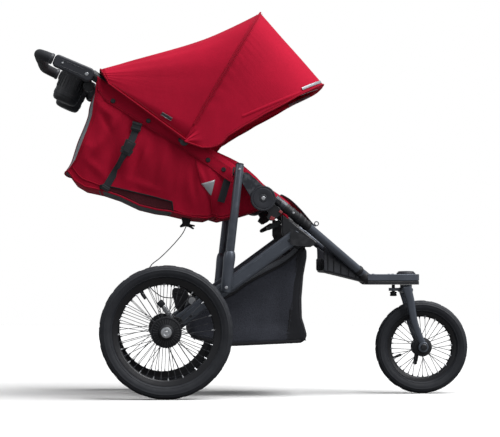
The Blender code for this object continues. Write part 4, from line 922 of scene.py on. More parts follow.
# ------------------------------------------------------------ fork
def front_fork():
    shape = Shape()
    crown = PLATFORM_TOP - 0.033 - 0.026
    for side in (-1, 1):
        y = side * 0.0460
        line = [(0.756, crown + 0.018), (0.760, crown + 0.002), (0.7675, crown - 0.026), (0.7735, crown - 0.060),
                (0.7800, crown - 0.092), (0.7925, crown - 0.128), (0.8050, FRONT_AXLE.z + 0.014)]
        path = smooth_path([at(x, y, z) for x, z in line], 5)
        sizes = []
        for k in range(len(path)):
            t = k / (len(path) - 1)
            sizes.append((0.0068 - 0.0010 * t, 0.0158 - 0.0052 * math.sin(math.pi * min(1, t * 1.1) * 0.5)))
        shape.tube(path, sizes, 24, 0, up=Y_AXIS, power=0.72)
        eye = [(0, -0.0066), (0.0150, -0.0066), (0.0160, -0.0056), (0.0160, 0.0056), (0.0150, 0.0066), (0, 0.0066)]
        shape.turned(eye, FRONT_AXLE + Y_AXIS * y, 40)
    path = [at(0.758, y, crown + 0.009) for y in (-0.0505, -0.0485, -0.040, 0.0, 0.040, 0.0485, 0.0505)]
    shape.tube(path, [(0.0060, 0.0120), (0.0085, 0.0165), (0.0090, 0.0190), (0.0095, 0.0205), (0.0090, 0.0190),
                      (0.0085, 0.0165), (0.0060, 0.0120)], 28, 0, up=Z_AXIS, power=0.7)
    shape.turned([(0, crown + 0.004), (0.0188, crown + 0.004), (0.0188, PLATFORM_TOP - 0.0334),
                  (0, PLATFORM_TOP - 0.0334)], at(0.760, 0, 0), 40, axis=Z_AXIS)
    ear = [(0.7082, -0.010), (0.7060, -0.006), (0.7060, 0.006), (0.7082, 0.010), (0.745, 0.011), (0.745, -0.011)]
    hole = Matrix(((1, 0, 0, ORIGIN.x), (0, 0, 1, 0), (0, 1, 0, 0), (0, 0, 0, 1)))
    shape.slab(ear, crown + 0.0062, crown + 0.0158, 0, hole)
    fork = shape.make("front_fork_legs", GUNMETAL, "front_fork", "gunmetal", angle=40)
    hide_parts("front_fork")
    trims = Shape()
    for side in (-1, 1):
        spot = FRONT_AXLE + Y_AXIS * (side * 0.0402)
        trims.turned([(0, 0), (0.0185, 0), (0.0195, side * 0.0008), (0.0195, -side * 0.0010), (0, -side * 0.0012)],
                     spot, 36)
    trims.make("axle_washers", BLACK, "front_fork", "black_plastic")
    knob = Shape()
    spot = at(0.720, 0, 0)
    top = PLATFORM_TOP - 0.0334
    profile = [(0, top), (0.0052, top), (0.0052, top - 0.0215), (0.0080, top - 0.0218), (0.0108, top - 0.0235),
               (0.0112, top - 0.0250), (0.0098, top - 0.0275), (0.0098, top - 0.0300), (0.0112, top - 0.0325),
               (0.0105, top - 0.0348), (0.0080, top - 0.0358), (0, top - 0.0360)]
    knob.turned(profile, spot, 32, axis=Z_AXIS)
    knob = knob.make("lock_knob", BLACK, "swivel_lock", "black_plastic", angle=28)
    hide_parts("swivel_lock")
    lever = Shape()
    outer = 0.0534
    for side in (-1, 1):
        profile = [(0, -0.0130), (0.0060, -0.0130), (0.0060, 0.0), (0.0088, 0.0002), (0.0098, 0.0015),
                   (0.0098, 0.0060), (0.0085, 0.0074), (0, 0.0080)]
        lever.turned([(r, side * (outer + y)) for r, y in profile], Vector((FRONT_AXLE.x, 0, FRONT_AXLE.z)), 28)
    line = [(0.0, 0.0), (-0.003, -0.014), (-0.0065, -0.030), (-0.0095, -0.046), (-0.0120, -0.0580)]
    path = smooth_path([FRONT_AXLE + Vector((x, outer + 0.0070, z)) for x, z in line], 4)
    sizes = [(0.0034 - 0.0010 * abs(k / (len(path) - 1) - 0.5), 0.0085 - 0.0025 * k / (len(path) - 1))
             for k in range(len(path))]
    sizes[0], sizes[-1] = (0.0020, 0.0060), (0.0014, 0.0036)
    lever.tube(path, sizes, 20, 0, up=Y_AXIS, power=0.75)
    lever = lever.make("quick_release_lever", GLOSS, "quick_release", "black_plastic", angle=35)
    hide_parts("quick_release")


front_fork()


# ------------------------------------------------------------ rear frame
def rear_frame():
    axle = at(0, 0, 0.200)
    pivot = at(ARM_PIVOT[0], 0, ARM_PIVOT[1])
    for side_name, side in SIDES:
        low, high = sorted((side * 0.2052, side * 0.2248))
        shape = Shape().slab(stadium(axle, pivot, 0.0210, 0.0210, 18), low, high)
        arm = shape.make(f"swing_arm_{side_name}_finished", GUNMETAL, "rear_frame", "gunmetal", bevel=0.0062,
                         segments=5)
        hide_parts(f"swing_arm_{side_name}")
        along = (pivot - axle).normalized()
        up = Vector((-along.z, 0, along.x))
        line = Shape()
        a, b = axle + along * 0.030, pivot - along * 0.028
        for lift in (0.0115, -0.0115):
            run = [a + up * lift, a.lerp(b, 0.5) + up * lift, b + up * lift]
            line.tube([p + Y_AXIS * (side * 0.2247) for p in run], [0.0005, 0.0009, 0.0005], 8)
        line.make(f"arm_ridges_{side_name}", GUNMETAL, "rear_frame", "gunmetal")
        fixings = Shape()
        screw_head(fixings, pivot - along * 0.018 + up * 0.001 + Y_AXIS * (side * 0.2248), side, 0.0052)
        spot = at(0.0755, side * 0.2248, 0.2480)
        screw_head(fixings, spot, side, 0.0052)
        fixings.make(f"arm_screws_{side_name}", DARK_METAL, "rear_frame", "steel", angle=30)
        boot = Shape()
        low, high = sorted((side * 0.2035, side * 0.2266))
        end = axle + along * 0.040
        boot.slab(stadium(axle, end, 0.0226, 0.0226, 16), low, high)
        boot.make(f"axle_boot_{side_name}", BLACK, "rear_frame", "black_plastic", bevel=0.0045, segments=4)
        washer = Shape()
        disc(washer, axle, 0.0155, 0.2264, 0.2290, side, 0, 28)
        washer.make(f"axle_washer_{side_name}", STEEL, "rear_frame", "steel")
    paint(STEEL, "steel", "rear_axle")
    paint(GUNMETAL, "gunmetal", "axle_tube", bevel=0.0015)
    paint(SILVER, "silver", "rear_crossbar", bevel=0.0012)
    bracket = Shape()
    outline = [(0.0600, 0.3300), (0.0320, 0.3320), (0.0245, 0.3250), (0.0235, 0.3100), (0.0300, 0.2900),
               (0.0345, 0.2690), (0.0480, 0.2530), (0.0560, 0.2560), (0.0640, 0.2800), (0.0760, 0.3050),
               (0.0720, 0.3210)]
    bracket.slab([(x + ORIGIN.x, z) for x, z in outline], -0.0205, 0.0205)
    outline = [(0.0300, 0.3180), (0.0480, 0.3240), (0.0600, 0.3180), (0.0560, 0.3080), (0.0380, 0.3080)]
    bracket.slab([(x + ORIGIN.x, z) for x, z in outline], -0.0235, 0.0235)
    bracket.make("tether_bracket", BLACK, "rear_frame", "black_plastic", bevel=0.0030, segments=3)
    collars = Shape()
    for _, side in SIDES:
        spot = at(0.080, side * 0.190, 0.2935)
        collars.tube([spot, spot + Y_AXIS * side * 0.002, spot + Y_AXIS * side * 0.0145], [0.0118, 0.0135, 0.0135], 24)
    collars.make("crossbar_collars", BLACK, "rear_frame", "black_plastic")


def brake_pedal():
    """Cast lever with slots and a rubber toe pad."""
    shape = Shape()
    pivot, tip = at(0.0400, 0, 0.2260), at(-0.0130, 0, 0.2850)
    along = (tip - pivot).normalized()
    up = Vector((-along.z, 0, along.x))
    line = [(0.0, 0.0), (0.022, 0.003), (0.044, 0.004), (0.066, 0.000)]
    path = smooth_path([pivot + along * a + up * b - Y_AXIS * 0.106 for a, b in line], 5)
    sizes = [(0.0135, 0.0095 - 0.002 * math.sin(math.pi * k / (len(path) - 1))) for k in range(len(path))]
    sizes[0] = sizes[-1] = (0.0115, 0.0070)
    shape.tube(path, sizes, 24, 0, up=Y_AXIS, power=0.6)
    shape.turned([(0.0050, -0.1200), (0.0100, -0.1200), (0.0108, -0.1190), (0.0108, -0.0930), (0.0100, -0.0920),
                  (0.0050, -0.0920)], Vector((pivot.x, 0, pivot.z)), 28, ring=True)
    pedal = shape.make("brake_lever", SILVER, "brake_pedal", "silver", angle=35)
    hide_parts("brake_pedal")
    slots = Shape()
    for reach in (0.018, 0.027, 0.036, 0.045):
        for y in (-0.1175, -0.0945):
            spot = pivot + along * reach + up * 0.0035 + Y_AXIS * y
            slots.tube([spot - up * 0.0055, spot - up * 0.0045, spot + up * 0.0045, spot + up * 0.0055],
                       [0.0008, 0.0020, 0.0020, 0.0008], 8)
    slots.make("brake_slots", BLACK, "brake_pedal", "black_plastic")
    toe = Shape()
    toe.tube([tip - along * 0.012 + up * 0.001 - Y_AXIS * 0.106, tip - along * 0.008 + up * 0.001 - Y_AXIS * 0.106,
              tip + along * 0.004 - Y_AXIS * 0.106, tip + along * 0.008 - Y_AXIS * 0.106],
             [(0.0130, 0.0085), (0.0148, 0.0105), (0.0148, 0.0105), (0.0120, 0.0075)], 24, 0, up=Y_AXIS, power=0.6)
    toe.make("brake_toe_pad", TYRE, "brake_pedal", "black_plastic")


def struts():
    for side_name, side in SIDES:
        foot = at(STRUT_FOOT[0], side * STRUT_Y, STRUT_FOOT[1])
        top = at(STRUT_TOP[0], side * STRUT_Y, STRUT_TOP[1])
        along = (top - foot).normalized()
        shape = Shape()
        end = (top - foot).length + 0.010
        line = [(0.098, 0.0118), (0.102, 0.0128), (end - 0.0035, 0.0128), (end - 0.0010, 0.0120), (end, 0.0105)]
        shape.tube([foot + along * a for a, _ in line], [r for _, r in line], 32, 0)
        line = [(-0.0150, 0.0120), (-0.0130, 0.0150), (-0.0100, 0.0160), (0.0300, 0.0163), (0.0620, 0.0168),
                (0.0780, 0.0176), (0.0900, 0.0178), (0.0990, 0.0172), (0.1060, 0.0155), (0.1100, 0.0136)]
        shape.tube([foot + along * a for a, _ in line], [r for _, r in line], 32, 1)
        pin = foot.copy()
        pin.y = side * 0.2050
        shape.tube([pin, Vector((pin.x, foot.y, pin.z))], 0.0050, 20, 2)
        strut = shape.make(f"strut_{side_name}_finished", [GUNMETAL, GUNMETAL, STEEL], "struts", "gunmetal",
                           angle=30)
        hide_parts(f"strut_{side_name}")
        rivet = Shape()
        spot = foot + along * (end - 0.016) + Y_AXIS * (side * 0.0125)
        screw_head(rivet, spot, side, 0.0040)
        screw_head(rivet, foot + Y_AXIS * (side * 0.0160), side, 0.0050)
        rivet.make(f"strut_rivets_{side_name}", STEEL, "struts", "steel", angle=30)
        cap = Shape()
        cap.tube([top + along * 0.0095, top + along * 0.0120, top + along * 0.0135], [0.0124, 0.0118, 0.0080], 28)
        cap.make(f"strut_cap_{side_name}", BLACK, "struts", "black_plastic")


rear_frame()
brake_pedal()
struts()


# ------------------------------------------------------------ handle and organizer
def handle():
    shape = Shape()
    for _, side in SIDES:
        low, high = sorted((side * 0.2119, side * 0.2325))
        outline = []
        for along, lift, start, r in ((0.0960, 0.0085, 0, 0.012), (-0.0060, 0.0085, 90, 0.014),
                                      (-0.0060, -0.0065, 180, 0.014), (0.0960, -0.0070, 270, 0.012)):
            for k in range(7):
                turn = math.radians(start + 15 * k)
                outline.append(HANDLE_PIVOT + HANDLE_DIR * (along + r * math.cos(turn))
                               + HANDLE_UP * (lift + r * math.sin(turn)))
        shape.slab([(p.x, p.z) for p in outline], low, high)
    arms = shape.make("handle_arms", CHARCOAL, "handlebar", "charcoal_plastic", bevel=0.0058, segments=5)
    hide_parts("handlebar")
    trims = Shape()
    for _, side in SIDES:
        a, b = HANDLE_PIVOT + HANDLE_DIR * 0.006, HANDLE_PIVOT + HANDLE_DIR * 0.086
        for lift in (0.0095, -0.0095):
            run = [a + HANDLE_UP * lift, a.lerp(b, 0.5) + HANDLE_UP * lift, b + HANDLE_UP * lift]
            trims.tube([p + Y_AXIS * (side * 0.2324) for p in run], [0.0006, 0.0011, 0.0006], 8, 0)
        ring = HANDLE_PIVOT + HANDLE_DIR * 0.1105 + Y_AXIS * (side * HANDLE_Y)
        trims.tube([ring, ring + HANDLE_DIR * 0.002, ring + HANDLE_DIR * 0.008, ring + HANDLE_DIR * 0.010],
                   [0.0150, 0.0172, 0.0172, 0.0156], 28, 0)
    trims.make("handle_trims", CHARCOAL, "handlebar", "charcoal_plastic")
    screws = Shape()
    for _, side in SIDES:
        screw_head(screws, HANDLE_PIVOT + Y_AXIS * (side * 0.2325), side, 0.0058)
        screw_head(screws, HANDLE_PIVOT + HANDLE_DIR * 0.080 + HANDLE_UP * 0.001 + Y_AXIS * (side * 0.2325), side,
                   0.0034)
    screws.make("handle_screws", STEEL, "handlebar", "steel", angle=30)
    arm_end = HANDLE_PIVOT + HANDLE_DIR * 0.114
    corner = [arm_end - Y_AXIS * HANDLE_Y, GRIP - Y_AXIS * HANDLE_Y, GRIP + Y_AXIS * HANDLE_Y,
              arm_end + Y_AXIS * HANDLE_Y]
    path = resample(rounded(corner, 0.042, 10), 110)
    sizes = []
    for k, point in enumerate(path):
        wave = 0.00018 * math.sin(point.y * 160) + 0.00016 * noise.noise(point * 60)
        palm = 0.0008 * math.exp(-((abs(point.y) - 0.09) / 0.05) ** 2)
        sizes.append(0.0157 + wave + palm)
    sizes[0] = sizes[-1] = 0.0140
    foam = Shape().tube(path, sizes, 32, 0)
    foam = foam.make("grip_foam_sleeve", FOAM, "handlebar", "grip_foam")
    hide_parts("handle_grip")
    paint(BLACK, "black_plastic", "handle_socket_right", "handle_socket_left", bevel=0.0012)
    paint(SILVER, "silver", "handle_button_right", "handle_button_left", bevel=0.0010)


def rounded_ring(centre, across, up, half_a, half_b, radius, count=6):
    """Points round a rectangle with rounded corners."""
    ring = []
    for sx, sy, start in ((1, 1, 0), (-1, 1, 90), (-1, -1, 180), (1, -1, 270)):
        for k in range(count):
            angle = math.radians(start + 90 * k / (count - 1))
            ring.append(centre + across * (sx * (half_a - radius) + radius * math.cos(angle))
                        + up * (sy * (half_b - radius) + radius * math.sin(angle)))
    return ring


def organizer():
    """Two cup holders, the tray between them and the clips."""
    axis = HANDLE_UP
    rim_centre = at(-0.2705, 0, 0.9960)
    cups = Shape()
    for _, side in SIDES:
        top = rim_centre + Y_AXIS * (side * 0.115)
        profile = [(0, -0.1050), (0.0250, -0.1050), (0.0320, -0.1035), (0.0368, -0.0990), (0.0388, -0.0930),
                   (0.0392, -0.0885), (0.0392, -0.0868), (0.0408, -0.0862), (0.0410, -0.0790), (0.0410, -0.0760),
                   (0.0400, -0.0754), (0.0404, -0.0500), (0.0412, -0.0200), (0.0416, -0.0060), (0.0420, -0.0052),
                   (0.0432, -0.0035), (0.0434, -0.0010), (0.0424, 0.0004), (0.0400, 0.0006), (0.0390, -0.0010),
                   (0.0384, -0.0300), (0.0372, -0.0900), (0.0350, -0.0990), (0.0290, -0.1018), (0, -0.1020)]
        cups.turned(profile, top, 64, axis=axis)
        for k in range(24):
            angle = 2 * math.pi * k / 24
            u = HANDLE_DIR * math.cos(angle) + Y_AXIS * math.sin(angle)
            cups.tube([top + u * 0.0406 - axis * 0.064, top + u * 0.0410 - axis * 0.060,
                       top + u * 0.0414 - axis * 0.026, top + u * 0.0413 - axis * 0.022],
                      [0.0004, 0.0011, 0.0011, 0.0004], 6)
    levels = [(-0.0400, 0.0680, 0.0250), (-0.0405, 0.0690, 0.0262), (-0.0060, 0.0700, 0.0290),
              (-0.0010, 0.0702, 0.0292), (-0.0004, 0.0712, 0.0305), (-0.0010, 0.0722, 0.0325),
              (-0.0030, 0.0722, 0.0330), (-0.0060, 0.0715, 0.0322), (-0.0400, 0.0700, 0.0296),
              (-0.0460, 0.0690, 0.0270), (-0.0475, 0.0660, 0.0240)]
    rows = [rounded_ring(rim_centre + axis * lift, Y_AXIS, HANDLE_DIR, a, b, 0.010) for lift, a, b in levels]
    cups.grid(rows, around=True, caps=True)
    clip = at(-0.2350, 0, 0.9450)
    for _, side in SIDES:
        profile = [(0, 0.1500), (0.0150, 0.1500), (0.0160, 0.1510), (0.0160, 0.1590), (0.0148, 0.1600),
                   (0.0148, 0.1640), (0.0160, 0.1650), (0.0160, 0.1795), (0.0150, 0.1806), (0, 0.1808)]
        cups.turned([(r, side * y) for r, y in profile], clip, 32)
        low, high = sorted((side * 0.118, side * 0.176))
        arm = [(-0.2480, 0.9800), (-0.2300, 0.9740), (-0.2210, 0.9500), (-0.2260, 0.9320), (-0.2420, 0.9330)]
        cups.slab([(x + ORIGIN.x, z) for x, z in arm], low, high)
    piece = cups.make("organizer_shell", BLACK, "upper_frame", "black_plastic", angle=34)
    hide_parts("parent_organizer")


handle()
organizer()


# ------------------------------------------------------------ canopy
def bow_place(angle, reach, half, share):
    turn = share * math.pi / 2
    y = half * math.copysign(abs(math.sin(turn)) ** 0.5, turn)
    out = reach * abs(math.cos(turn)) ** 0.5
    return CANOPY_PIVOT + Vector((out * math.cos(angle), y, out * math.sin(angle)))


def bow_normal(angle, share):
    turn = share * math.pi / 2
    c, s = abs(math.cos(turn)) ** 1.5, math.copysign(abs(math.sin(turn)) ** 1.5, turn)
    return Vector((c * math.cos(angle), s, c * math.sin(angle))).normalized()


def blend_between(value, table):
    """Straight-line reading of a table."""
    if value <= table[0][0]:
        return table[0][1]
    for (a, ya), (b, yb) in zip(table, table[1:]):
        if value <= b:
            return ya + (yb - ya) * (value - a) / (b - a)
    return table[-1][1]


HEM = [(0.0, -90), (0.0095, -88), (0.033, -28.7), (0.065, -16.8), (0.091, -10.9), (0.114, -2.6), (0.131, 7),
       (0.160, 11.8), (0.190, 15.2), (0.258, 19.2), (0.371, 22.2), (0.456, 23.3), (0.60, 23.3)]


def canopy_shares(count):
    """More points where the squared bow turns."""
    return [math.sin(math.pi / 2 * (-1 + 2 * k / count)) * 0.45 + (-1 + 2 * k / count) * 0.55
            for k in range(count + 1)]


def ripple(place, along, across, size):
    """Irregular gathers running away from a seam."""
    phase = along * 2 * math.pi / 0.026 + 2.2 * noise.noise(Vector((along * 9, across * 4, 3.1)))
    strength = 0.45 + 0.75 * abs(noise.noise(Vector((along * 14, 5.7, 0))))
    return size * strength * math.sin(phase) + size * 0.9 * noise.noise(place * 11)


def front_fan(share, t, lift=0.0):
    """A point of the front panel: t runs from the main bow to the hem."""
    turn = share * math.pi / 2
    out = CANOPY_REACH * abs(math.cos(turn)) ** 0.5
    hem = math.radians(blend_between(out, HEM))
    angle = MAIN_BOW + (hem - MAIN_BOW) * t
    base = bow_place(angle, CANOPY_REACH, CANOPY_HALF, share)
    if hem > 0:
        base = base.lerp(bow_place(MAIN_BOW, CANOPY_REACH, CANOPY_HALF, share).lerp(
            bow_place(hem, CANOPY_REACH, CANOPY_HALF, share), t), 0.92)
    normal = bow_normal(angle, share)
    gather = math.exp(-t / 0.22) * min(1.0, t / 0.02) * (1.0 if abs(share) > 0.12 else 0.55)
    tension = -0.0015 * math.sin(math.pi * t) * abs(math.cos(turn)) ** 0.5
    wave = ripple(base, abs(share) * 0.55, t, 0.0017) * gather + 0.0016 * noise.noise(base * 7) * math.sin(math.pi * t)
    return base + normal * (tension + wave + lift)


def rear_fan(share, t, lift=0.0):
    """A point of the rear panel: t runs from the tail to the main bow."""
    turn = share * math.pi / 2
    rise = abs(math.cos(turn)) ** 0.5
    side_point, top_point = at(-0.172, 0, 0.946), at(-0.1999, 0, 0.9975)
    tail = side_point.lerp(top_point, rise)
    tail.y = 0.2340 * math.copysign(abs(math.sin(turn)) ** 0.42, turn) if share else 0.0
    tail += Vector((0.0, 0.0, 0.0022 * math.sin(share * 31) * rise))
    front = bow_place(MAIN_BOW, CANOPY_REACH, CANOPY_HALF, share)
    point = tail.lerp(front, t)
    point.z -= 0.0175 * math.sin(math.pi * t ** 1.5) * rise ** 2
    normal = bow_normal(math.radians(105), share)
    hollow = (math.copysign(1, share) * 0.0050 * math.sin(math.pi * t) * (1 - rise ** 3)
              * min(1, 2 * (1 - abs(share)) / 0.3))
    point -= Y_AXIS * hollow
    tail_gather = math.exp(-t / 0.12) * ripple(point, abs(share) * 0.42, t, 0.0013)
    soft = 0.0030 * noise.noise(Vector((point.x * 6, point.y * 3, point.z * 6))) * math.sin(math.pi * t)
    edge = 1.0 if abs(share) < 0.97 else (1 - abs(share)) / 0.03
    return point + normal * ((tail_gather + soft) * edge + lift)


def canopy():
    paint(BLACK, "black_plastic", "canopy_main_bow", "canopy_front_bow")
    shares = canopy_shares(120)
    rows = [[front_fan(share, k / 26) for share in shares] for k in range(27)]
    front = Shape().grid(rows).make("canopy_front_cloth", RED, None, "crimson_fabric", solid=0.0012, offset=-1.0,
                                    angle=80)
    rows = [[rear_fan(share, k / 40) for share in shares] for k in range(41)]
    rear = Shape().grid(rows).make("canopy_rear_cloth", RED, None, "crimson_fabric", solid=0.0012, offset=-1.0,
                                   angle=80)
    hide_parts("canopy_front_panel")
    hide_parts("canopy_rear_panel")
    trim = Shape()
    hem = [front_fan(share, 1.0, 0.0004) for share in shares]
    trim.tube(hem, 0.0026, 10, 0)
    trim.stitches([front_fan(share, 0.965, 0.0006) for share in shares[2:-2]], 1, thick=0.00045)
    front_trim = trim.make("canopy_front_hem", [RED_TRIM, THREAD], None, "crimson_fabric")
    trim = Shape()
    tail = [rear_fan(share, 0.0, 0.0004) for share in shares]
    trim.tube(tail, 0.0028, 10, 0)
    for side in (-1, 1):
        lower = [rear_fan(side * 0.9999, k / 40, 0.0) + Y_AXIS * side * 0.0006 for k in range(41)]
        trim.tube(lower, 0.0026, 10, 0)
        trim.stitches([p + UPPER_UP * 0.008 + Y_AXIS * side * 0.0004 for p in lower[1:-2]], 1, thick=0.00045)
    trim.stitches([rear_fan(share, 0.022, 0.0008) for share in shares[3:-3]], 1, thick=0.00045)
    trim.stitches([rear_fan(share, 0.978, 0.0008) for share in shares[3:-3]], 1, thick=0.00045)
    rear_trim = trim.make("canopy_rear_hem", [RED_TRIM, THREAD], None, "crimson_fabric")
    for piece in (rear, rear_trim):
        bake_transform(piece)
    for piece in (front, front_trim):
        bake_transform(piece)
    seam = Shape()
    line = [bow_place(MAIN_BOW, CANOPY_REACH + 0.0012, CANOPY_HALF + 0.0010, share) for share in shares[1:-1]]
    seam.tube(line, 0.0030, 10, 0)
    seam.stitches([p + Vector((0.006, 0, -0.0035)) + bow_normal(MAIN_BOW, s) * 0.0002
                   for p, s in zip(line, shares[1:-1])], 1, thick=0.0005)
    seam.make("canopy_seam", [RED_TRIM, THREAD], "canopy_main", "crimson_fabric")
    sleeve = Shape()
    run = [bow_place(FRONT_BOW, BOW_SLEEVE_REACH, 0.2315, share) for share in shares if abs(share) < 0.90]
    sleeve.tube(run, 0.0082, 16, 0)
    sleeve.make("canopy_bow_sleeve", RED, "canopy_front", "crimson_fabric")
    tape = Shape()
    for side in (-1, 1):
        picked = [side * (0.20 + 0.32 * k / 24) for k in range(25)]
        path = [bow_place(FRONT_BOW + math.radians(1.15), CANOPY_REACH, CANOPY_HALF, s)
                + bow_normal(FRONT_BOW, s) * 0.0010 for s in picked]
        tape.ribbon(path, 0.0085, 0.0006, [Vector((-math.sin(FRONT_BOW), 0, math.cos(FRONT_BOW)))] * 25)
        path = [bow_place(FRONT_BOW - math.radians(0.6), CANOPY_REACH - 0.0170, 0.2215, s) for s in picked]
        tape.ribbon(path, 0.0085, 0.0006, [Vector((-math.sin(FRONT_BOW), 0, math.cos(FRONT_BOW)))] * 25)
    tape.make("canopy_bright_tape", TAPE, "canopy_front", "silver")
    tag = Shape()
    a, b = at(-0.0138, -0.2412, 0.8576), at(0.0163, -0.2412, 0.8396)
    tag.ribbon([a, a.lerp(b, 0.5), b], 0.0095, 0.0010, Vector((0, 0, 1)))
    label = tag.make("canopy_blank_tag", BLACK, None, "black_plastic")
    edge = Shape()
    corners = [a + UPPER_UP * 0.0046, b + UPPER_UP * 0.0046, b - UPPER_UP * 0.0046, a - UPPER_UP * 0.0046]
    edge.tube([p - Y_AXIS * 0.0007 for p in corners], 0.0004, 6, closed=True)
    edge = edge.make("canopy_tag_stitch", TAPE, None, "silver")
    for piece in (label, edge):
        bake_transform(piece)
    hubs = Shape()
    for _, side in SIDES:
        disc(hubs, CANOPY_PIVOT, 0.0135, 0.2300, 0.2330, side, 0, 32, 0.0010, 0.0005)
    hubs.make("canopy_hubs", CHARCOAL, "canopy_front", "black_plastic", angle=30)


canopy()


# ------------------------------------------------------------ side fabric
BOTTOM = [(-0.2955, 0.6857), (-0.2743, 0.6570), (-0.2441, 0.6390), (-0.1897, 0.6275), (-0.1383, 0.6105),
          (-0.0778, 0.5820), (-0.0263, 0.5695), (0.0131, 0.5645), (0.0829, 0.5480), (0.1254, 0.5440),
          (0.1436, 0.5510), (0.1710, 0.5430), (0.2075, 0.5530), (0.2440, 0.5600), (0.2928, 0.5750)]
REAR_EDGE = [(-0.2955, 0.6857), (-0.2715, 0.7191), (-0.2475, 0.7798), (-0.2355, 0.8102), (-0.2205, 0.8559),
             (-0.2176, 0.8863), (-0.2086, 0.9380)]
MESH_TOP = [(-0.1990, 0.6430), (-0.1838, 0.6420), (-0.1233, 0.6290), (-0.0475, 0.6110), (0.0192, 0.5930)]
BAND_LOW = [(-0.2082, 0.9340), (-0.1841, 0.8995), (-0.1086, 0.8514), (-0.0179, 0.7943), (0.0547, 0.7492),
            (0.1183, 0.7100), (0.1789, 0.6648), (0.2060, 0.6480)]


def tube_z(x):
    """Height of the upper tube's axis over a place, from the rear axle's frame."""
    foot = UPPER_FOOT - ORIGIN
    return foot.z + (foot.x - x) * math.tan(UPPER_SLOPE)


def panel_top(x):
    if x < -0.2086:
        return blend_between(x, REAR_EDGE)
    return tube_z(x) - 0.0140 - 0.004 * max(0.0, min(1.0, (x - 0.15) / 0.08))


def ease(value, low, high):
    t = max(0.0, min(1.0, (value - low) / (high - low)))
    return t * t * (3 - 2 * t)


FOLDS = [(-0.205, 0.890, -0.150, 0.845, 0.012, 0.0080), (-0.150, 0.845, -0.175, 0.800, 0.012, 0.0085),
         (-0.175, 0.800, -0.225, 0.735, 0.014, 0.0075), (-0.195, 0.860, -0.165, 0.800, 0.009, -0.0060),
         (-0.080, 0.780, -0.135, 0.690, 0.012, 0.0085), (-0.045, 0.775, -0.095, 0.670, 0.011, 0.0060),
         (-0.062, 0.760, -0.112, 0.660, 0.008, -0.0055), (0.000, 0.740, -0.030, 0.640, 0.013, 0.0055),
         (0.045, 0.710, 0.030, 0.610, 0.012, 0.0050), (0.088, 0.720, 0.122, 0.640, 0.008, 0.0055),
         (0.080, 0.700, 0.090, 0.600, 0.009, -0.0050), (-0.240, 0.720, -0.180, 0.665, 0.012, 0.0060),
         (-0.120, 0.660, -0.020, 0.625, 0.010, 0.0045)]


def panel_y(x, z):
    """How far out the side fabric hangs at a place."""
    low = blend_between(x, BOTTOM)
    high = tube_z(x) - 0.014
    share = max(0.0, min(1.0, (high - z) / max(0.02, high - low)))
    top_y = 0.2120 + (0.1795 - 0.2120) * ease(x, 0.185, 0.240)
    low_y = 0.1880 - 0.010 * ease(x, 0.12, 0.24)
    y = top_y + (low_y - top_y) * share ** 1.25
    hang = math.sin(math.pi * share) ** 0.7 if 0 < share < 1 else 0.0
    calm = 1.0 - 0.75 * ease(x, 0.14, 0.22)
    fold = 0.0024 * math.sin(2 * math.pi * (x * 8.5 + 0.22 * share) + 0.6)
    fold += 0.0016 * math.sin(2 * math.pi * (x * 15.0 - 0.30 * share) + 1.9)
    fold += 0.0060 * noise.noise(Vector((x * 9, z * 5, 0.7)))
    fold += 0.0030 * noise.noise(Vector((x * 24, z * 9, 4.1)))
    gather = 0.0030 * math.exp(-share / 0.10) * math.sin(2 * math.pi * x * 34 + 3 * noise.noise(Vector((x * 12, 0, 0))))
    corner = -0.0120 * math.exp(-((x + 0.235) / 0.025) ** 2) * math.sin(math.pi * min(1.0, share * 1.6))
    dart = -0.0055 * math.exp(-((x - (0.105 + 0.035 * share)) / 0.011) ** 2) * share
    for x1, z1, x2, z2, width, size in FOLDS:
        run = ((x - x1) * (x2 - x1) + (z - z1) * (z2 - z1)) / ((x2 - x1) ** 2 + (z2 - z1) ** 2)
        off = math.hypot(x - x1 - (x2 - x1) * max(0, min(1, run)), z - z1 - (z2 - z1) * max(0, min(1, run)))
        fold += size * math.exp(-(off / width) ** 2) * (0.35 + 0.65 * math.sin(math.pi * max(0.0, min(1.0, run))))
    strap = -0.0045 * math.exp(-(((x + 0.088) - 0.098 * -share) / 0.016) ** 2) * hang
    pull = 0.0055 * math.exp(-((x + 0.155) / 0.040) ** 2) * math.exp(-((share - 0.22) / 0.16) ** 2)
    return y + (fold + gather + 0.006 * math.sin(math.pi * share)) * hang * calm + (corner + dart) * calm \
        + strap + pull * calm


def on_panel(x, z, lift=0.0, side=-1):
    return at(x, side * (panel_y(x, z) + lift), z)


def hang(*pieces):
    """Bake each piece's placing into its mesh; the fabric stays where it was built and rides on no body."""
    for piece in pieces:
        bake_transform(piece)


def panel_columns():
    spots = [-0.2955 + 0.0870 * k / 34 for k in range(34)] + [-0.2085 + 0.0045 * k for k in range(112)]
    return [x for x in spots if x < 0.2928] + [0.2928]


def in_mesh(x):
    return -0.199 <= x <= 0.0192


def mesh_height(x, high, low):
    """The top of the side's mesh strip, and how that line of the cloth runs on beside it."""
    plain = high + 0.74 * (low - high)
    near = ease(x, -0.235, -0.199) * (1 - ease(x, 0.0192, 0.0550))
    return plain + (blend_between(x, MESH_TOP) - plain) * near


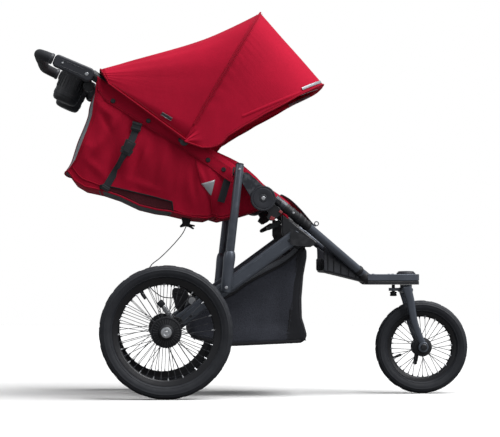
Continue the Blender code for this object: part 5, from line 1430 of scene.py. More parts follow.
def side_fabric(side_name, side):
    shape = Shape()
    columns = panel_columns()
    rows = []
    levels = 46
    for x in columns:
        high, low = panel_top(x), blend_between(x, BOTTOM)
        border = mesh_height(x, high, low)
        column = []
        for k in range(levels + 1):
            t = k / levels
            z = high + (border - high) * t / 0.74 if t < 0.74 else border + (low - border) * (t - 0.74) / 0.26
            column.append(on_panel(x, z, 0.0, side))
        rows.append(column)
    start = len(shape.faces)
    shape.grid(rows)
    cut = int(0.74 * levels)
    index = start
    for i in range(len(columns) - 1):
        middle = (columns[i] + columns[i + 1]) / 2
        for j in range(levels):
            if j >= cut and in_mesh(middle):
                shape.slots[index] = 1
            index += 1
    cloth_piece = shape.make(f"side_cloth_{side_name}", [RED, RED_NET], None, "crimson_fabric", solid=0.0012,
                             offset=-1.0, angle=80)
    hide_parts(f"side_panel_{side_name}")
    trim = Shape()
    rim_run = [on_panel(x, panel_top(x), 0.0008, side) for x in columns if x <= -0.2085]
    trim.tube(rim_run, 0.0026, 8, 0)
    low_run = [on_panel(x, blend_between(x, BOTTOM), 0.0004, side) for x in columns]
    trim.tube(low_run, 0.0028, 8, 0)
    for path in (MESH_TOP, [(-0.1990, 0.6430), (-0.1970, 0.6290)], [(0.0192, 0.5930), (0.0230, 0.5640)]):
        run = resample([at(x, 0, z) for x, z in path], 40)
        run = [on_panel(p.x - ORIGIN.x, p.z, 0.0006, side) for p in run]
        trim.tube(run, 0.0019, 8, 1)
    border = [(-0.2860, 0.7030), (-0.2560, 0.6660), (-0.2200, 0.6510), (-0.1990, 0.6430)]
    run = [on_panel(p.x - ORIGIN.x, p.z, 0.0008, side)
           for p in smooth_path([at(x, 0, z) for x, z in border], 12)]
    trim.tube(run, 0.0018, 8, 0)
    border = [(0.0230, 0.5700), (0.0650, 0.5560), (0.1250, 0.5520), (0.1430, 0.5570), (0.1700, 0.5510),
              (0.2300, 0.5680)]
    run = [on_panel(p.x - ORIGIN.x, p.z, 0.0008, side)
           for p in smooth_path([at(x, 0, z) for x, z in border], 12)]
    trim.tube(run, 0.0018, 8, 0)
    seam = resample([at(0.0870, 0, 0.7270), at(0.1060, 0, 0.6560), at(0.1360, 0, 0.6020), at(0.1430, 0, 0.5500)], 50)
    trim.tube([on_panel(p.x - ORIGIN.x, p.z, 0.0006, side) for p in seam], 0.0014, 8, 0)
    rear_line = [at(x + 0.0075, 0, z) for x, z in REAR_EDGE[1:]]
    trim.stitches([on_panel(p.x - ORIGIN.x, p.z, 0.0006, side) for p in resample(rear_line, 60)], 2, thick=0.00045)
    low_line = [at(x, 0, z + 0.0085) for x, z in BOTTOM[2:-1]]
    trim.stitches([on_panel(p.x - ORIGIN.x, p.z, 0.0008, side) for p in resample(low_line, 120)], 2, thick=0.00045)
    trims = trim.make(f"side_seams_{side_name}", [RED_TRIM, BINDING, THREAD], None, "crimson_fabric")
    mark = Shape()
    corners = [Vector(p) for p in ((0.1067, 0, 0.6470), (0.1492, 0, 0.6593), (0.1371, 0, 0.6107))]
    rows = []
    for i in range(9):
        a, b = corners[0].lerp(corners[2], i / 8), corners[1].lerp(corners[2], i / 8)
        rows.append([on_panel(a.lerp(b, j / 8).x, a.lerp(b, j / 8).z, 0.0016, side) for j in range(9)])
    mark.grid(rows)
    mark_piece = mark.make(f"side_bright_patch_{side_name}", TAPE, None, "silver", solid=0.0006, weld=1e-5)
    strap = Shape()
    top, low = Vector((0.1990, 0, 0.7000)), Vector((0.1670, 0, 0.5921))
    run = [top.lerp(low, k / 24) for k in range(25)]
    strap.ribbon([on_panel(p.x, p.z, 0.0022, side) for p in run], 0.0225, 0.0014, X_ACROSS)
    wide = strap.make(f"side_wide_strap_{side_name}", WEBBING, None, "webbing")
    hang(cloth_piece, trims, mark_piece, wide)
    recline = Shape()
    line = smooth_path([(-0.0874, 0, 0.8250), (-0.0960, 0, 0.7960), (-0.1144, 0, 0.7551), (-0.1320, 0, 0.7210),
                        (-0.1505, 0, 0.6884), (-0.1865, 0, 0.6277)], 10)
    lifts = [0.0030 + 0.0022 * ease(k, 8, 20) * (1 - ease(k, 26, 44)) for k in range(len(line))]
    path = [at(p.x, side * (panel_y(p.x, p.z) + lift), p.z) for p, lift in zip(line, lifts)]
    recline.ribbon(path, 0.0215, 0.0015, X_ACROSS)
    tail = [path[k] + Y_AXIS * side * 0.0022 + Vector((0.004, 0, 0)) for k in range(18, 40)]
    recline.ribbon(tail, 0.0190, 0.0014, X_ACROSS)
    recline_piece = recline.make(f"recline_webbing_{side_name}", WEBBING, None, "webbing")
    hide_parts(f"recline_strap_{side_name}")
    hard = Shape()
    buckle(hard, path[2], (path[8] - path[1]).normalized(), side, 0.0310, 0.0270, 0.0065, bars=2)
    buckle(hard, path[20], (path[24] - path[16]).normalized(), side, 0.0340, 0.0440, 0.0090, bars=0)
    buckle(hard, path[-2], (path[-1] - path[-8]).normalized(), side, 0.0270, 0.0150, 0.0055, bars=1)
    fittings = hard.make(f"recline_buckles_{side_name}", BLACK, None, "black_plastic", bevel=0.0012, segments=2)
    hang(recline_piece, fittings)


def buckle(shape, centre, along, side, width, length, thick, bars=1):
    """Moulded strap buckle lying on a side face; bars are the slots' cross bars."""
    up = Y_AXIS * side
    across = up.cross(along).normalized()
    along = across.cross(up).normalized()
    outline = [(-1, -0.92), (-0.92, -1), (0.92, -1), (1, -0.92), (0.90, 0.0), (1, 0.92), (0.92, 1), (-0.92, 1),
               (-1, 0.92), (-0.90, 0.0)]
    matrix = Matrix((
        (across.x * width / 2, up.x, along.x * length / 2, centre.x),
        (across.y * width / 2, up.y, along.y * length / 2, centre.y),
        (across.z * width / 2, up.z, along.z * length / 2, centre.z),
        (0, 0, 0, 1)))
    shape.slab(outline, -0.0005, thick * 0.62, 0, matrix)
    if bars == 0:
        inner = [(x * 0.62, z * 0.70) for x, z in outline]
        shape.slab(inner, thick * 0.5, thick, 0, matrix)
        prong = [(-1.12, 0.10), (-0.90, 0.10), (-0.90, 0.62), (-1.12, 0.50)]
        shape.slab(prong, 0.0, thick * 0.6, 0, matrix)
        shape.slab([(-x, z) for x, z in prong], 0.0, thick * 0.6, 0, matrix)
    for k in range(bars):
        z = 0.0 if bars == 1 else -0.55 + 1.1 * k / (bars - 1)
        bar = [(-0.98, z - 0.16), (0.98, z - 0.16), (0.98, z + 0.16), (-0.98, z + 0.16)]
        shape.slab(bar, thick * 0.5, thick, 0, matrix)


X_ACROSS = Vector((0.86, 0, 0.50))


def tube_cover(side_name, side):
    """Fabric sleeve round the upper tube, its snap band below and the piping."""
    shape = Shape()
    rows = []
    for k in range(90):
        reach = 0.585 - (0.585 - 0.108) * k / 89
        row = []
        for j in range(15):
            angle = math.radians(-118 + 236 * j / 14)
            wave = 0.0007 * noise.noise(Vector((reach * 40, angle * 1.5, 2.0)))
            wave += 0.0009 * math.exp(-(0.585 - reach) / 0.02) * math.sin(angle * 9)
            r = 0.0160 + wave
            row.append(upper_line(reach, r * math.cos(angle), side * TUBE_Y + r * math.sin(angle)))
        rows.append(row)
    shape.grid(rows)
    sleeve = shape.make(f"tube_sleeve_{side_name}", RED, "upper_frame", "crimson_fabric", solid=0.0010, offset=-1.0,
                        angle=80)
    band = Shape()
    columns = [-0.2078 + 0.0046 * k for k in range(90)]
    columns = [x for x in columns if x <= 0.206]
    rows = []
    for x in columns:
        high, low = tube_z(x) + 0.004, blend_between(x, BAND_LOW)
        row = []
        for k in range(11):
            t = k / 10
            puff = 0.0012 * math.sin(math.pi * t) + 0.0011 * noise.noise(Vector((x * 22, t * 2, 7.0)))
            row.append(at(x, side * (0.2132 + puff + 0.0008 * t), high + (low - high) * t))
        rows.append(row)
    band.grid(rows)
    band = band.make(f"snap_band_{side_name}", RED, "upper_frame", "crimson_fabric", solid=0.0013, offset=-1.0,
                     angle=80)
    piping = Shape()
    run = [row[-1] + Y_AXIS * side * 0.0004 for row in rows]
    piping.tube(run, 0.0021, 8, 0)
    piping.stitches([row[-1] + Vector((0, side * 0.0013, 0.0055)) for row in rows], 1, thick=0.00045)
    piping.stitches([row[1] + Vector((0, side * 0.0016, 0.0)) for row in rows], 1, thick=0.00045)
    run = [upper_line(0.108, 0.0164 * math.cos(a), side * TUBE_Y + 0.0164 * math.sin(a))
           for a in [math.radians(-118 + 236 * j / 14) for j in range(15)]]
    piping.tube(run, 0.0018, 8, 2)
    run = [upper_line(0.585, 0.0164 * math.cos(a), side * TUBE_Y + 0.0164 * math.sin(a))
           for a in [math.radians(-118 + 236 * j / 14) for j in range(15)]]
    piping.tube(run, 0.0022, 8, 0)
    piping.make(f"band_piping_{side_name}", [RED_TRIM, THREAD, BINDING], "upper_frame", "crimson_fabric")
    snaps = Shape()
    for x, z in ((-0.1599, 0.8966), (-0.0531, 0.8369), (0.0440, 0.7795), (0.1275, 0.7189), (0.1745, 0.6903)):
        profile = [(0, 0.2140), (0.0072, 0.2140), (0.0074, 0.2158), (0.0062, 0.2172), (0.0040, 0.2176),
                   (0.0034, 0.2168), (0, 0.2166)]
        snaps.turned([(r, side * y) for r, y in profile], at(x, 0, z), 24)
    snaps.make(f"band_snaps_{side_name}", GLOSS, "upper_frame", "black_plastic", angle=25)


def head_mesh():
    """Airy panel behind the head, with its seams."""
    shape = Shape()
    rows = []
    line = smooth_path([(x, 0, z) for x, z in REAR_EDGE], 6)
    for p in line:
        reach = panel_y(p.x, p.z) - 0.0012
        row = []
        for j in range(37):
            share = -1 + 2 * j / 36
            bulge = 0.0220 * math.cos(share * math.pi / 2) ** 0.55 if abs(share) < 1 else 0.0
            bulge *= math.sin(math.pi * min(1.0, 0.12 + 0.88 * (p.z - 0.6857) / 0.2523)) ** 0.5
            wave = 0.0022 * noise.noise(Vector((share * 5, p.z * 12, 1.0)))
            row.append(at(p.x - bulge + wave * (1 - share ** 2), share * reach, p.z))
        rows.append(row)
    shape.grid(rows)
    panel = shape.make("head_mesh", GREY_NET, None, "basket_mesh", solid=0.0011, offset=-1.0, angle=80)
    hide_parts("head_panel")
    trim = Shape()
    for k in (0, 9, 27, 36):
        trim.tube([row[k] - Vector((0.0008, 0, 0)) for row in rows], 0.0017, 8, 0)
    trim.tube([p - Vector((0.0008, 0, 0)) for p in rows[0]], 0.0026, 8, 0)
    trim.tube([p - Vector((0.0008, 0, 0)) for p in rows[-1]], 0.0026, 8, 0)
    strip = [rows[-1][k] + Vector((-0.0022, 0, -0.0105)) for k in range(3, 34)]
    trim.ribbon(strip, 0.0200, 0.0012, Z_AXIS)
    trims = trim.make("head_seams", RED_TRIM, None, "crimson_fabric")
    hang(panel, trims)


def under_seat():
    """The bag of mesh and cloth below the seat back, and the cloth below the seat."""
    shape = Shape()
    columns = [-0.2955 + 0.0105 * k for k in range(57)]
    columns = [x for x in columns if x < 0.160] + [0.160]
    rows = []
    for x in columns:
        low = blend_between(x, BOTTOM)
        reach = panel_y(x, low) - 0.0008
        sag = 0.0015 + 0.0030 * math.exp(-((x + 0.09) / 0.10) ** 2)
        rows.append([at(x, share * reach, low + 0.0006 - (sag * (1 - abs(share) ** 3.2)
                     + 0.0015 * noise.noise(Vector((x * 14, share * 4, 0)))) * ease(x, -0.2955, -0.255)
                     * (1 - ease(x, 0.12, 0.16)))
                     for share in [-1 + 2 * k / 28 for k in range(29)]])
    start = len(shape.faces)
    shape.grid(rows)
    for i in range(len(columns) - 1):
        middle = (columns[i] + columns[i + 1]) / 2
        if -0.195 < middle < 0.015:
            for j in range(28):
                shape.slots[start + i * 28 + j] = 1
    under = shape.make("seat_under_cloth", [RED, BASKET], "seat_back", "crimson_fabric", solid=0.0012, angle=80)
    trim = Shape()
    for row in (rows[9], rows[29]):
        trim.tube([p - Z_AXIS * 0.0006 for p in row], 0.0022, 8, 0)
    trim.make("seat_under_seams", BINDING, "seat_back", "webbing")
    front = Shape()
    columns = [0.162 + 0.0105 * k for k in range(13)]
    rows = []
    for x in columns:
        low = blend_between(x, BOTTOM)
        reach = min(panel_y(x, low), 0.1785) - 0.0008
        rows.append([at(x, share * reach, low + 0.0006 - 0.004 * (1 - share ** 4)) for share in
                     [-1 + 2 * k / 20 for k in range(21)]])
    front.grid(rows)
    front = front.make("seat_front_under_cloth", RED, "front_frame", "crimson_fabric", solid=0.0012, angle=80)
    clip = Shape()
    outline = [(0.0520, 0.5520), (0.0560, 0.5340), (0.0470, 0.5250), (0.0500, 0.5200), (0.0660, 0.5240),
               (0.0760, 0.5215), (0.0900, 0.5140), (0.0930, 0.5175), (0.0840, 0.5240), (0.0950, 0.5230),
               (0.0945, 0.5275), (0.0790, 0.5310), (0.0830, 0.5520)]
    clip.slab([(x + ORIGIN.x, z) for x, z in outline], -0.0125, 0.0125)
    clip.make("under_clip", BLACK, "seat_back", "black_plastic", bevel=0.0020, segments=3)


for name, sign in SIDES:
    side_fabric(name, sign)
    tube_cover(name, sign)
head_mesh()
under_seat()


# ------------------------------------------------------------ basket
TUB = [(0.0860, 0.2740), (0.0700, 0.2040), (0.0760, 0.1870), (0.0900, 0.1750), (0.2036, 0.1546), (0.4150, 0.1633),
       (0.4290, 0.1720), (0.4340, 0.1878), (0.4290, 0.2080), (0.4190, 0.2400), (0.4175, 0.3000), (0.4230, 0.3700),
       (0.4330, 0.4250), (0.4330, 0.4540), (0.4180, 0.4560)]
TUB_TOP = [(0.0860, 0.2740), (0.1500, 0.2900), (0.2060, 0.3150), (0.2400, 0.3400), (0.2900, 0.3690),
           (0.3500, 0.3990), (0.3900, 0.4270), (0.4180, 0.4560)]


def basket():
    """Mesh tub with bound edges; its sides draw in towards the bindings."""
    shape = Shape()
    path = resample(rounded([at(x, 0, z) for x, z in TUB], 0.012, 4), 120)

    def strip_point(p, share):
        y = 0.1580 * share
        inward = 0.0
        if abs(share) > 0.90:
            turn = (abs(share) - 0.90) / 0.10 * math.pi / 2
            y = math.copysign(0.1422 + 0.0258 * math.sin(turn), share)
            inward = 0.0110 * (1 - math.cos(turn))
        middle = Vector((ORIGIN.x + 0.255, 0, 0.275))
        way = middle - p
        way.y = 0
        way.normalize()
        sag = 0.0022 * noise.noise(Vector((p.x * 13, share * 3, p.z * 13))) * (1 - share ** 4)
        q = p + way * (inward + sag)
        q.y = y
        return q

    shares = [-1 + 2 * k / 48 for k in range(49)]
    rows = [[strip_point(p, share) for share in shares] for p in path]
    shape.grid(rows)
    for side, column in ((-1, 0), (1, 48)):
        ring = [row[column] for row in rows]
        top_run = resample([ring[-1]] + [at(x, side * 0.1680, z) for x, z in reversed(TUB_TOP[1:-1])] + [ring[0]], 60)
        border = ring + top_run[1:-1]
        count = len(border)
        centre = Vector((ORIGIN.x + 0.285, side * 0.1675, 0.262))
        rings = []
        for k in range(13):
            t = k / 12
            line = []
            for p in border:
                q = p.lerp(centre, t * 0.985)
                q.y = side * (0.1680 + 0.0018 * math.sin(math.pi * min(1, t * 2))
                              + 0.0038 * noise.noise(Vector((q.x * 10, 3.0, q.z * 10))) * min(1, t * 4)
                              - 0.0035 * min(1, t * 1.5))
                line.append(q)
            rings.append(line)
        start = len(shape.faces)
        shape.grid(rings, around=True, caps=False)
        for k in range(start, len(shape.faces)):
            centre_x = sum(shape.points[i].x for i in shape.faces[k]) / 4 - ORIGIN.x
            centre_z = sum(shape.points[i].z for i in shape.faces[k]) / 4
            if centre_x > 0.3760 + (centre_z - 0.2158) * 0.128:
                shape.slots[k] = 1
        shape.face(range(len(shape.points) - count, len(shape.points)), 0)
    for k, face in enumerate(shape.faces):
        if sum(shape.points[i].x for i in face) / len(face) - ORIGIN.x > 0.408:
            shape.slots[k] = 1
    tub = shape.make("basket_tub", [BASKET, LINING], "front_frame", "basket_mesh", solid=0.0012, offset=-1.0, angle=80,
                     weld=2e-5)
    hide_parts("basket")
    trim = Shape()
    for side in (-1, 1):
        top = [at(x, side * 0.1685, z) for x, z in TUB_TOP]
        run = resample(smooth_path(top, 8), 70)
        for seam_path in (TUB[3:6], TUB[7:13]):
            seam = resample([at(x, side * 0.1672, z) + (Vector((ORIGIN.x + 0.25, side * 0.1672, 0.28))
                             - at(x, side * 0.1672, z)).normalized() * 0.010 for x, z in seam_path], 40)
            trim.tube(seam, 0.0016, 8, 0)
            trim.stitches([p + Vector((0, side * 0.0014, 0)) for p in seam], 1, thick=0.00045)
        trim.ribbon(run, 0.0080, 0.0032, Vector((0, 0, 1)))
        trim.stitches([p + Vector((0, side * 0.0020, -0.0020)) for p in run], 1, thick=0.00045)
        band = [at(x, side * 0.1672, z) for x, z in ((0.4060, 0.4500), (0.3960, 0.3700), (0.3860, 0.2900),
                                                     (0.3765, 0.2158), (0.3710, 0.1720))]
        band = resample(band, 40)
        trim.tube(band, 0.0018, 8, 0)
        trim.stitches([p + Vector((-0.005, side * 0.0014, 0)) for p in band], 1, thick=0.00045)
        pale = [p + Vector((-0.0035, -side * 0.0016, 0.0105)) for p in run[18:]]
        trim.ribbon(pale, 0.0150, 0.0012, Vector((0, 0, 1)), 2)
        foot = [at(x, side * 0.1690, z) for x, z in ((0.0950, 0.1790), (0.2036, 0.1596), (0.4120, 0.1690))]
        trim.ribbon(resample(foot, 40), 0.0100, 0.0016, Vector((0, 0, 1)), 0)
    front = [at(0.4250, y, 0.4560) for y in (-0.168, -0.08, 0.0, 0.08, 0.168)]
    trim.ribbon(resample(front, 30), 0.0150, 0.0034, Vector((0, 0, 1)))
    back = [at(0.0860, y, 0.2740) for y in (-0.168, -0.08, 0.0, 0.08, 0.168)]
    trim.ribbon(resample(back, 30), 0.0110, 0.0032, Vector((0, 0, 1)))
    low = [at(0.0892, y, 0.1752) for y in (-0.160, 0.0, 0.160)]
    trim.tube(resample(low, 20), 0.0018, 8)
    low = [at(0.4286, y, 0.1722) for y in (-0.160, 0.0, 0.160)]
    trim.tube(resample(low, 20), 0.0018, 8)
    trim.make("basket_binding", [BINDING, DARK_THREAD, PALE_NET], "front_frame", "webbing")
    hangers = Shape()
    for side in (-1, 1):
        run = [at(0.0860, side * 0.150, 0.2720), at(0.0800, side * 0.150, 0.2900), at(0.0780, side * 0.150, 0.3060),
               at(0.0840, side * 0.150, 0.3080), at(0.0920, side * 0.150, 0.2960), at(0.0930, side * 0.150, 0.2740)]
        hangers.ribbon(smooth_path(run, 6), 0.0200, 0.0014, Y_AXIS)
        run = [at(0.3900, side * 0.1660, 0.4340), at(0.3990, side * 0.1670, 0.4560), at(0.4040, side * 0.1680, 0.4700)]
        hangers.ribbon(smooth_path(run, 6), 0.0180, 0.0014, Vector((0.8, 0, -0.3)))
    hangers.make("basket_hangers", WEBBING, "front_frame", "webbing")


basket()


# ------------------------------------------------------------ seat
def puffed(thing, cell, limit, smooth=1, strength=4.0):
    """Fill a pad: an even mesh blown up by a short cloth simulation, held to a small change."""
    modifier = thing.modifiers.new("even_mesh", "REMESH")
    modifier.mode = "VOXEL"
    modifier.voxel_size = cell
    graph = bpy.context.evaluated_depsgraph_get()
    mesh = bpy.data.meshes.new_from_object(thing.evaluated_get(graph))
    thing.modifiers.clear()
    thing.data = mesh
    sim = bpy.data.objects.new(thing.name + "_sim", mesh.copy())
    scene.collection.objects.link(sim)
    cloth = sim.modifiers.new("cloth", "CLOTH")
    cloth.settings.quality = 4
    cloth.settings.mass = 0.35
    cloth.settings.tension_stiffness = cloth.settings.compression_stiffness = 25
    cloth.settings.shear_stiffness = 8
    cloth.settings.bending_stiffness = 1.5
    cloth.settings.use_pressure = True
    cloth.settings.uniform_pressure_force = strength
    cloth.settings.effector_weights.gravity = 0.0
    cloth.collision_settings.use_collision = False
    for step in range(1, 21):
        scene.frame_set(step)
    after = sim.evaluated_get(bpy.context.evaluated_depsgraph_get()).to_mesh()
    moved = np.empty(len(after.vertices) * 3)
    after.vertices.foreach_get("co", moved)
    before = np.empty(len(mesh.vertices) * 3)
    mesh.vertices.foreach_get("co", before)
    before, moved = before.reshape(-1, 3), moved.reshape(-1, 3)
    moved -= (moved - before).mean(axis=0)
    change = moved - before
    size = np.linalg.norm(change, axis=1, keepdims=True)
    change *= np.minimum(1.0, limit / np.maximum(size, 1e-9))
    mesh.vertices.foreach_set("co", (before + change).ravel())
    bpy.data.objects.remove(sim)
    scene.frame_set(1)
    if smooth:
        modifier = thing.modifiers.new("finer", "SUBSURF")
        modifier.levels = modifier.render_levels = smooth
        graph = bpy.context.evaluated_depsgraph_get()
        thing.data = bpy.data.meshes.new_from_object(thing.evaluated_get(graph))
        thing.modifiers.clear()
    thing.data.materials.clear()
    thing.data.shade_smooth()
    return thing


def stitched(thing, change):
    """Move the points of a pad: its sewn channels and edges."""
    mesh = thing.data
    for vertex in mesh.vertices:
        vertex.co = change(vertex.co.copy())
    mesh.update()
    return thing


def seat_back_pad():
    low = SEAT_CREASE + SEAT_ALONG * 0.010 - SEAT_UP * 0.0125
    corners = [low, low + SEAT_ALONG * 0.417, low + SEAT_ALONG * 0.417 + SEAT_UP * 0.0215, low + SEAT_UP * 0.0215]
    shape = Shape().slab([(p.x, p.z) for p in corners], -0.1650, 0.1650)
    pad = puffed(shape.make("seat_back_pad", RED), 0.0060, 0.0065)

    def sew(p):
        along, up = (p - SEAT_CREASE).dot(SEAT_ALONG), (p - SEAT_CREASE).dot(SEAT_UP)
        deep = 0.0
        for line in (0.075, 0.150, 0.225, 0.300):
            deep += math.exp(-((along - line) / 0.0045) ** 2) * (1.0 if abs(p.y) < 0.122 else 0.0)
        deep += 1.0 * math.exp(-((abs(p.y) - 0.122) / 0.0045) ** 2)
        deep += 0.8 * math.exp(-((along - 0.350) / 0.0045) ** 2)
        crease = 0.0010 * noise.noise(Vector((along * 30, p.y * 22, 0)))
        if up > 0:
            p = p - SEAT_UP * (0.0046 * min(1.0, deep)) + SEAT_UP * crease
        return p

    stitched(pad, sew)
    pad.data.materials.append(RED)
    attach(pad, "seat_back")
    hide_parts("seat_back")
    piping = Shape()
    edge = []
    for along, y in ((0.012, -0.166), (0.425, -0.166), (0.425, 0.166), (0.012, 0.166)):
        edge.append(SEAT_CREASE + SEAT_ALONG * along + Y_AXIS * y - SEAT_UP * 0.001)
    piping.tube(rounded(edge, 0.020, 6), 0.0024, 8)
    piping.make("seat_back_piping", BINDING, "seat_back", "webbing")


def seat_bottom_pad():
    outline = [(0.172, 0.550), (0.244, 0.564), (0.300, 0.581), (0.344, 0.594), (0.350, 0.604),
               (0.344, 0.6140), (0.300, 0.6130), (0.244, 0.5955), (0.173, 0.5760)]
    shape = Shape().slab([(x + ORIGIN.x, z) for x, z in outline], -0.1560, 0.1560)
    pad = puffed(shape.make("seat_cushion", RED), 0.0055, 0.0055)

    def sew(p):
        x = p.x - ORIGIN.x
        top = p.z > 0.5605 + (x - 0.168) * 0.20 + 0.006
        deep = math.exp(-((abs(p.y) - 0.105) / 0.0045) ** 2) + math.exp(-((x - 0.318) / 0.0045) ** 2)
        deep += math.exp(-((x - 0.245) / 0.0045) ** 2) * (1.0 if abs(p.y) < 0.105 else 0.0)
        crease = 0.0010 * noise.noise(Vector((x * 28, p.y * 22, 2.0)))
        if top:
            p.z -= 0.0042 * min(1.0, deep) - crease
        return p

    stitched(pad, sew)
    pad.data.materials.append(RED)
    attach(pad, "front_frame")
    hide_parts("seat_bottom")


def leg_flap():
    """Quilted flap over the frame from the seat's front edge down to the footrest."""
    line = smooth_path([(0.3520, 0.6150, 0.152), (0.3585, 0.6145, 0.150), (0.3840, 0.5990, 0.144),
                        (0.4180, 0.5680, 0.134), (0.4560, 0.5240, 0.122)], 12)
    top, under = [], []
    for i, p in enumerate(line):
        x, z, half = p.x, p.y, p.z
        row, low = [], []
        share_down = i / (len(line) - 1)
        for j in range(61):
            share = -1 + 2 * j / 60
            pad = 0.0040 * (1 - share ** 10) * (1 - abs(2 * share_down - 1) ** 10)
            for seam in (-0.45, 0.45):
                pad -= 0.0030 * math.exp(-((share - seam) / 0.022) ** 2)
            for seam in (0.33, 0.66):
                pad -= 0.0026 * math.exp(-((share_down - seam) / 0.030) ** 2) * (1 if abs(share) < 0.45 else 0)
            pad += 0.0010 * noise.noise(Vector((x * 25, share * 5, 0)))
            row.append(at(x, half * share, z) + LOWER_UP * pad)
            low.append(at(x, half * share, z) - LOWER_UP * 0.0022)
        top.append(row)
        under.append(low)
    loops = [row + low[::-1] for row, low in zip(top, under)]
    shape = Shape().grid(loops, around=True, caps=True)
    flap = shape.make("leg_flap", RED, "front_frame", "crimson_fabric", angle=70)
    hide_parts("leg_panel")
    edge = Shape()
    run = [row[0] + LOWER_UP * 0.0002 for row in top] + top[-1][1:-1] + [row[-1] for row in reversed(top)]
    edge.tube(run, 0.0027, 8, 0)
    edge.make("leg_flap_binding", BINDING, "front_frame", "webbing")


def side_rolls():
    """Soft rolled edges of the seat beside the upper tubes, over the hinges."""
    for side_name, side in SIDES:
        stations = [(upper_line(0.260, -0.004, side * 0.174), 0.006), (upper_line(0.190, 0.008, side * 0.172), 0.0120),
                    (upper_line(0.120, 0.016, side * 0.170), 0.0140), (upper_line(0.060, 0.012, side * 0.168), 0.0130),
                    (upper_line(0.020, 0.006, side * 0.166), 0.0115), (lower_line(0.030, 0.008, side * 0.163), 0.0125),
                    (lower_line(0.070, 0.009, side * 0.160), 0.0120), (lower_line(0.115, 0.001, side * 0.153), 0.0080)]
        path = smooth_path([p for p, _ in stations], 8)
        sizes = []
        for k in range(len(path)):
            t = k / 8
            i = min(int(t), len(stations) - 2)
            r = stations[i][1] + (stations[i + 1][1] - stations[i][1]) * (t - i)
            r *= 1 + 0.05 * math.sin(k * 1.1) * noise.noise(Vector((k * 0.3, side, 0)))
            sizes.append((r, r * 0.80))
        sizes[0], sizes[-1] = (0.004, 0.003), (0.004, 0.003)
        roll = Shape().tube(path, sizes, 24, 0, up=UPPER_UP)
        seam = [p + UPPER_UP * (s[0] * 0.96) + Y_AXIS * side * s[1] * 0.30 for p, s in zip(path, sizes)]
        roll.tube(seam, 0.0014, 6, 1)
        piece = roll.make(f"side_roll_{side_name}", [RED, RED_TRIM], None, "crimson_fabric", angle=80)
        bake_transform(piece)


def harness():
    """Shoulder straps with pads on the back; waist and crotch straps with the buckle on the seat."""
    surface = SEAT_CREASE + SEAT_UP * 0.0142
    for side_name, side in SIDES:
        pad = Shape()
        path = []
        for k in range(25):
            along = 0.060 + 0.230 * k / 24
            lift = 0.0030 + 0.0016 * math.sin(math.pi * k / 24)
            path.append(surface + SEAT_ALONG * along + SEAT_UP * lift + Y_AXIS * side * (0.0700 - 0.006 * k / 24))
        sizes = [(0.0042, 0.0215)] * 25
        sizes[0] = sizes[-1] = (0.0024, 0.0190)
        pad.tube(path, sizes, 24, 0, up=SEAT_UP, power=0.6)
        piece = pad.make(f"shoulder_pad_{side_name}", LINING, "seat_back", "webbing")
        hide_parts(f"shoulder_strap_{side_name}")
        strap = Shape()
        run = []
        for k in range(31):
            along = 0.016 + 0.318 * k / 30
            lift = 0.0078 if 0.05 < along < 0.30 else 0.0020
            run.append(surface + SEAT_ALONG * along + SEAT_UP * (lift + 0.0008) + Y_AXIS * side * (
                0.0720 - 0.009 * k / 30 + 0.020 * math.exp(-along / 0.02)))
        strap.ribbon(smooth_path(run, 2), 0.0250, 0.0016, Y_AXIS)
        strap.make(f"shoulder_webbing_{side_name}", WEBBING, "seat_back", "webbing")
        slide = Shape()
        centre = surface + SEAT_ALONG * 0.046 + SEAT_UP * 0.0055 + Y_AXIS * side * 0.0735
        ring = rounded_ring(centre, Y_AXIS, SEAT_ALONG, 0.0165, 0.0110, 0.003)
        slide.tube(ring, 0.0019, 8, closed=True)
        slide.tube([centre - Y_AXIS * 0.0155, centre + Y_AXIS * 0.0155], 0.0016, 8)
        slide.make(f"strap_slide_{side_name}", BLACK, "seat_back", "black_plastic")
    buckle_piece = Shape()
    lay = Matrix(((1, 0, 0, ORIGIN.x), (0, 0, 1, 0), (0, 1, 0, 0), (0, 0, 0, 1)))
    outline = [(0.236, -0.013), (0.241, -0.022), (0.258, -0.024), (0.276, -0.020), (0.286, -0.010),
               (0.286, 0.010), (0.276, 0.020), (0.258, 0.024), (0.241, 0.022), (0.236, 0.013)]
    buckle_piece.slab(outline, 0.6206, 0.6330, 0, lay)
    buckle_piece.slab([(0.262 + (x - 0.262) * 0.6, y * 0.55) for x, y in outline], 0.6320, 0.6356, 1, lay)
    for side in (-1, 1):
        tongue = [(0.246, side * 0.018), (0.246, side * 0.040), (0.268, side * 0.040), (0.268, side * 0.018)]
        buckle_piece.slab(tongue, 0.6225, 0.6300, 0, lay)
    piece = buckle_piece.make("harness_buckle_shell", [BLACK, DULL_RED], "front_frame", "black_plastic",
                              bevel=0.0022, segments=3)
    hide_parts("harness_buckle")
    belts = Shape()
    run = smooth_path([at(0.300, 0, 0.6120), at(0.290, 0, 0.6230), at(0.276, 0, 0.6262), at(0.262, 0, 0.6262)], 6)
    belts.ribbon(run, 0.0250, 0.0018, Y_AXIS)
    belts.ribbon([at(0.262, 0, 0.6235), at(0.262, 0, 0.6120), at(0.262, 0, 0.6020)], 0.0250, 0.0018, Y_AXIS)
    for side in (-1, 1):
        run = smooth_path([at(0.257, side * 0.036, 0.6262), at(0.252, side * 0.060, 0.6215),
                           at(0.236, side * 0.092, 0.6080), at(0.214, side * 0.122, 0.6000),
                           at(0.196, side * 0.146, 0.5925)], 8)
        belts.ribbon(run, 0.0240, 0.0016, Vector((1, 0, 0.22)))
    belts.make("waist_webbing", WEBBING, "front_frame", "webbing")


DULL_RED = moulded("button_red", (0.30, 0.02, 0.03), 0.4)
seat_back_pad()
seat_bottom_pad()
leg_flap()
side_rolls()
harness()


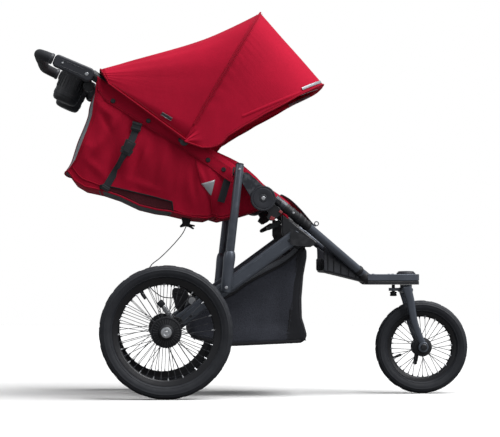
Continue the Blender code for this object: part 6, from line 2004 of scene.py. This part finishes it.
# ------------------------------------------------------------ tether
def tether():
    """Cord from the clip below the seat to the crossbar's bracket."""
    line = smooth_path([at(x, 0, z) for x, z in (
        (0.0690, 0.5270), (0.0560, 0.5010), (0.0330, 0.4726), (0.0080, 0.4460), (-0.0160, 0.4234),
        (-0.0400, 0.4040), (-0.0530, 0.3800), (-0.0515, 0.3500), (-0.0400, 0.3280), (-0.0200, 0.3110),
        (-0.0046, 0.3029), (0.0180, 0.3000), (0.0300, 0.3010))], 10)
    piece = Shape().tube(line, 0.0015, 10).make("tether_cord", WEBBING, "rear_frame", "webbing")
    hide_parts("tether_strap")


tether()


# ------------------------------------------------------------ camera, light and floor
def area_light(name, place, target, width, height, power, colour=(1, 1, 1)):
    lamp = bpy.data.lights.new(name, "AREA")
    lamp.shape = "RECTANGLE"
    lamp.size, lamp.size_y = width, height
    lamp.energy = power
    lamp.color = colour
    thing = bpy.data.objects.new(name, lamp)
    scene.collection.objects.link(thing)
    thing.location = place
    thing.rotation_euler = (Vector(target) - Vector(place)).to_track_quat("-Z", "Y").to_euler()


def studio():
    lens = bpy.data.cameras.new("photo_camera")
    lens.lens = 141.1
    lens.sensor_width = 36.0
    lens.clip_end = 60.0
    camera = bpy.data.objects.new("photo_camera", lens)
    scene.collection.objects.link(camera)
    camera.location = ORIGIN + Vector((-0.1078, -6.1357, 0.3560))
    yaw, pitch = math.radians(3.5035), math.radians(1.797)
    look = Vector((math.sin(yaw) * math.cos(pitch), math.cos(yaw) * math.cos(pitch), math.sin(pitch)))
    camera.rotation_euler = look.to_track_quat("-Z", "Y").to_euler()
    scene.camera = camera

    world = bpy.data.worlds.new("studio_world")
    world.use_nodes = True
    tree = world.node_tree
    seen = tree.nodes["Background"]
    seen.inputs["Color"].default_value = (1.0, 1.0, 1.0, 1.0)
    seen.inputs["Strength"].default_value = 1.0
    fill = tree.nodes.new("ShaderNodeBackground")
    fill.inputs["Color"].default_value = (0.96, 0.98, 1.0, 1.0)
    fill.inputs["Strength"].default_value = 0.15
    gleam = tree.nodes.new("ShaderNodeBackground")
    gleam.inputs["Color"].default_value = (0.92, 0.96, 1.0, 1.0)
    gleam.inputs["Strength"].default_value = 0.42
    path = tree.nodes.new("ShaderNodeLightPath")
    shiny = tree.nodes.new("ShaderNodeMixShader")
    tree.links.new(path.outputs["Is Glossy Ray"], shiny.inputs["Fac"])
    tree.links.new(fill.outputs["Background"], shiny.inputs[1])
    tree.links.new(gleam.outputs["Background"], shiny.inputs[2])
    mixed = tree.nodes.new("ShaderNodeMixShader")
    tree.links.new(path.outputs["Is Camera Ray"], mixed.inputs["Fac"])
    tree.links.new(shiny.outputs["Shader"], mixed.inputs[1])
    tree.links.new(seen.outputs["Background"], mixed.inputs[2])
    tree.links.new(mixed.outputs["Shader"], tree.nodes["World Output"].inputs["Surface"])
    scene.world = world
    scene.view_settings.view_transform = "Standard"

    sun = bpy.data.lights.new("overhead_sun", "SUN")
    sun.energy = 3.7
    sun.angle = math.radians(55)
    thing = bpy.data.objects.new("overhead_sun", sun)
    scene.collection.objects.link(thing)
    thing.rotation_euler = (-Vector((0.50, -0.22, 1.0))).to_track_quat("-Z", "Y").to_euler()
    middle = (0.0, 0.0, 0.6)
    area_light("side_light", (2.6, -2.6, 2.0), middle, 0.8, 1.8, 15)
    area_light("rear_light", (-3.0, -1.2, 2.4), middle, 0.8, 1.6, 9)

    floor = Finish("pale_floor", (0.93, 0.93, 0.93), 0.95, Specular_IOR_Level=0.0)
    direct = floor.node("ShaderNodeLightPath").outputs["Is Camera Ray"]
    floor.paint(floor.mix(direct, (0.16, 0.16, 0.16), floor.ramp(floor.noise(2.0, 2.0), (0.3, 0.925), (0.7, 0.94))))
    floor.set(floor.shader, "Emission Color", (1.0, 1.0, 1.0, 1.0))
    floor.link(floor.maths("MULTIPLY", direct, 0.03), floor.shader, "Emission Strength")
    shape = Shape().grid([[Vector((x, y, 0.0)) for x in (-9, 9)] for y in (-9, 9)])
    ground = shape.make("studio_floor", floor.material)


studio()
